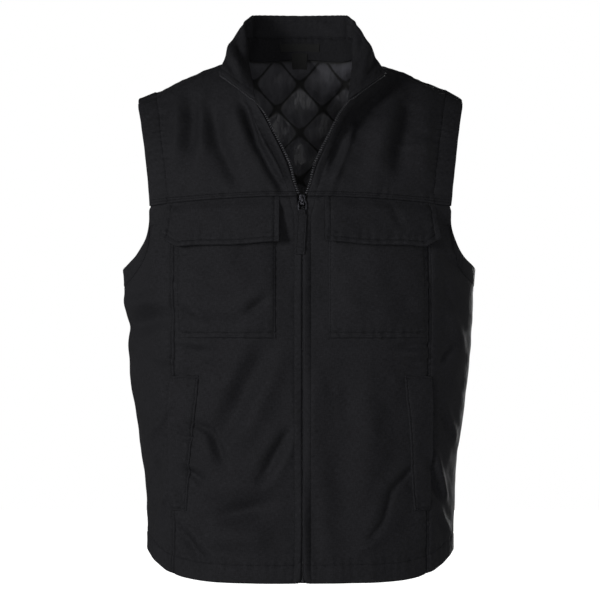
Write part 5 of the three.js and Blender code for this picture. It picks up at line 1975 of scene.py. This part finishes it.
# %% Pull ring
RING = Sizes(width=12.4, height=15, wire=1.8, power=0.45, forward=1.5, above_foot=6.1)
RING_POINTS = 72
RING_FORWARD = SLIDER.front + RING.forward
RING_TOP = SLIDER_AT[2] + RING.above_foot
RING_BAR_Z = RING_TOP - RING.height + RING.wire / 2

turn = np.linspace(0, 2 * np.pi, RING_POINTS, endpoint=False)
half_wide, half_tall = (RING.width - RING.wire) / 2, (RING.height - RING.wire) / 2
ring_x = half_wide * signed_power(np.cos(turn), RING.power)
ring_z = RING.above_foot - RING.height / 2 + half_tall * signed_power(np.sin(turn), RING.power)
ring_path = SLIDER_AT + points_of(ring_x, -RING_FORWARD, ring_z)
piece = joined("ring", [tube(ring_path, (0, 1.0, 0), RING.wire / 2, RING.wire / 2, closed=True)])
dress(piece, ZIP_METAL, "zip_metal", "pull_ring")

# %% [markdown]
# The pull is a strap of shell cloth folded over the ring's lower bar and sewn to itself. Two flat strips
# would show a gap at the ring. One strip that runs up, round the bar and down again is closed there.

# %% Pull strap
STRAP = Sizes(
    width=12.6, head=7.4, head_run=3, wide_by=7, length=59, cloth=1.1, slack=0.1,
    bend=2.2, close_by=8, lean=-0.06, edge_stitch=1.9, end_stitch=9, dent=0.4,
)
STRAP_STEP = 1.1
STRAP_MIDDLE = 20  # mm under the ring's bar, a point inside the fold
ROW_START = 10  # mm under the fold, where the front's rows of stitches start


def pull_strap(s, t):
    """One cloth folded over the ring's bar: down behind, half a turn round the bar, and down in front."""
    arc = np.pi * STRAP.bend
    run = t * (2 * STRAP.length + arc) - STRAP.length
    front = run > arc
    down = np.where(front, run - arc, -run)
    round_bar = np.clip(run / STRAP.bend, 0, np.pi)
    closed = STRAP.cloth / 2 + STRAP.slack
    apart = lerp(STRAP.bend, closed, smooth(down, 0, STRAP.close_by))
    y = np.where(down > 0, np.where(front, -apart, apart), STRAP.bend * np.cos(round_bar))
    z = np.where(down > 0, -down, STRAP.bend * np.sin(round_bar))
    half = lerp(STRAP.head, STRAP.width, smooth(down, STRAP.head_run, STRAP.wide_by)) / 2
    x = half * (2 * s - 1) + STRAP.lean * np.maximum(down, 0)
    bar = np.array((SLIDER_AT[0], SLIDER_AT[1] - RING_FORWARD, RING_BAR_Z))
    return bar + points_of(x, y, z)


inside = (SLIDER_AT[0], SLIDER_AT[1], RING_BAR_Z - STRAP_MIDDLE)
panel = Panel(
    pull_strap, lambda s, t: (s, t), FLAT_NUDGE, STRAP_STEP, inside,
    left=STRAP.edge_stitch, right=STRAP.edge_stitch, high=STRAP.end_stitch,
)
dents = STRAP.dent * stitched(panel, "left", "right")
cloth = STRAP.cloth
make_sheet("strap", panel, cloth / 2 + dents, cloth + dents, "pull_tab", OPEN_FOOT)
half_run = STRAP.length + ROW_START
rows = panel.lines(half_run, ROW_INSET, "left", "right") + panel.lines(ROW_INSET, ROW_INSET, "high")
sewing["stitches_strap"] = rows

# %% [markdown]
# ## The stitching
# Every panel has put its lines of stitches aside. Now they become thread, one piece for each area.

# %% Sew the lines
for name, lines in sewing.items():
    sew(name, lines)
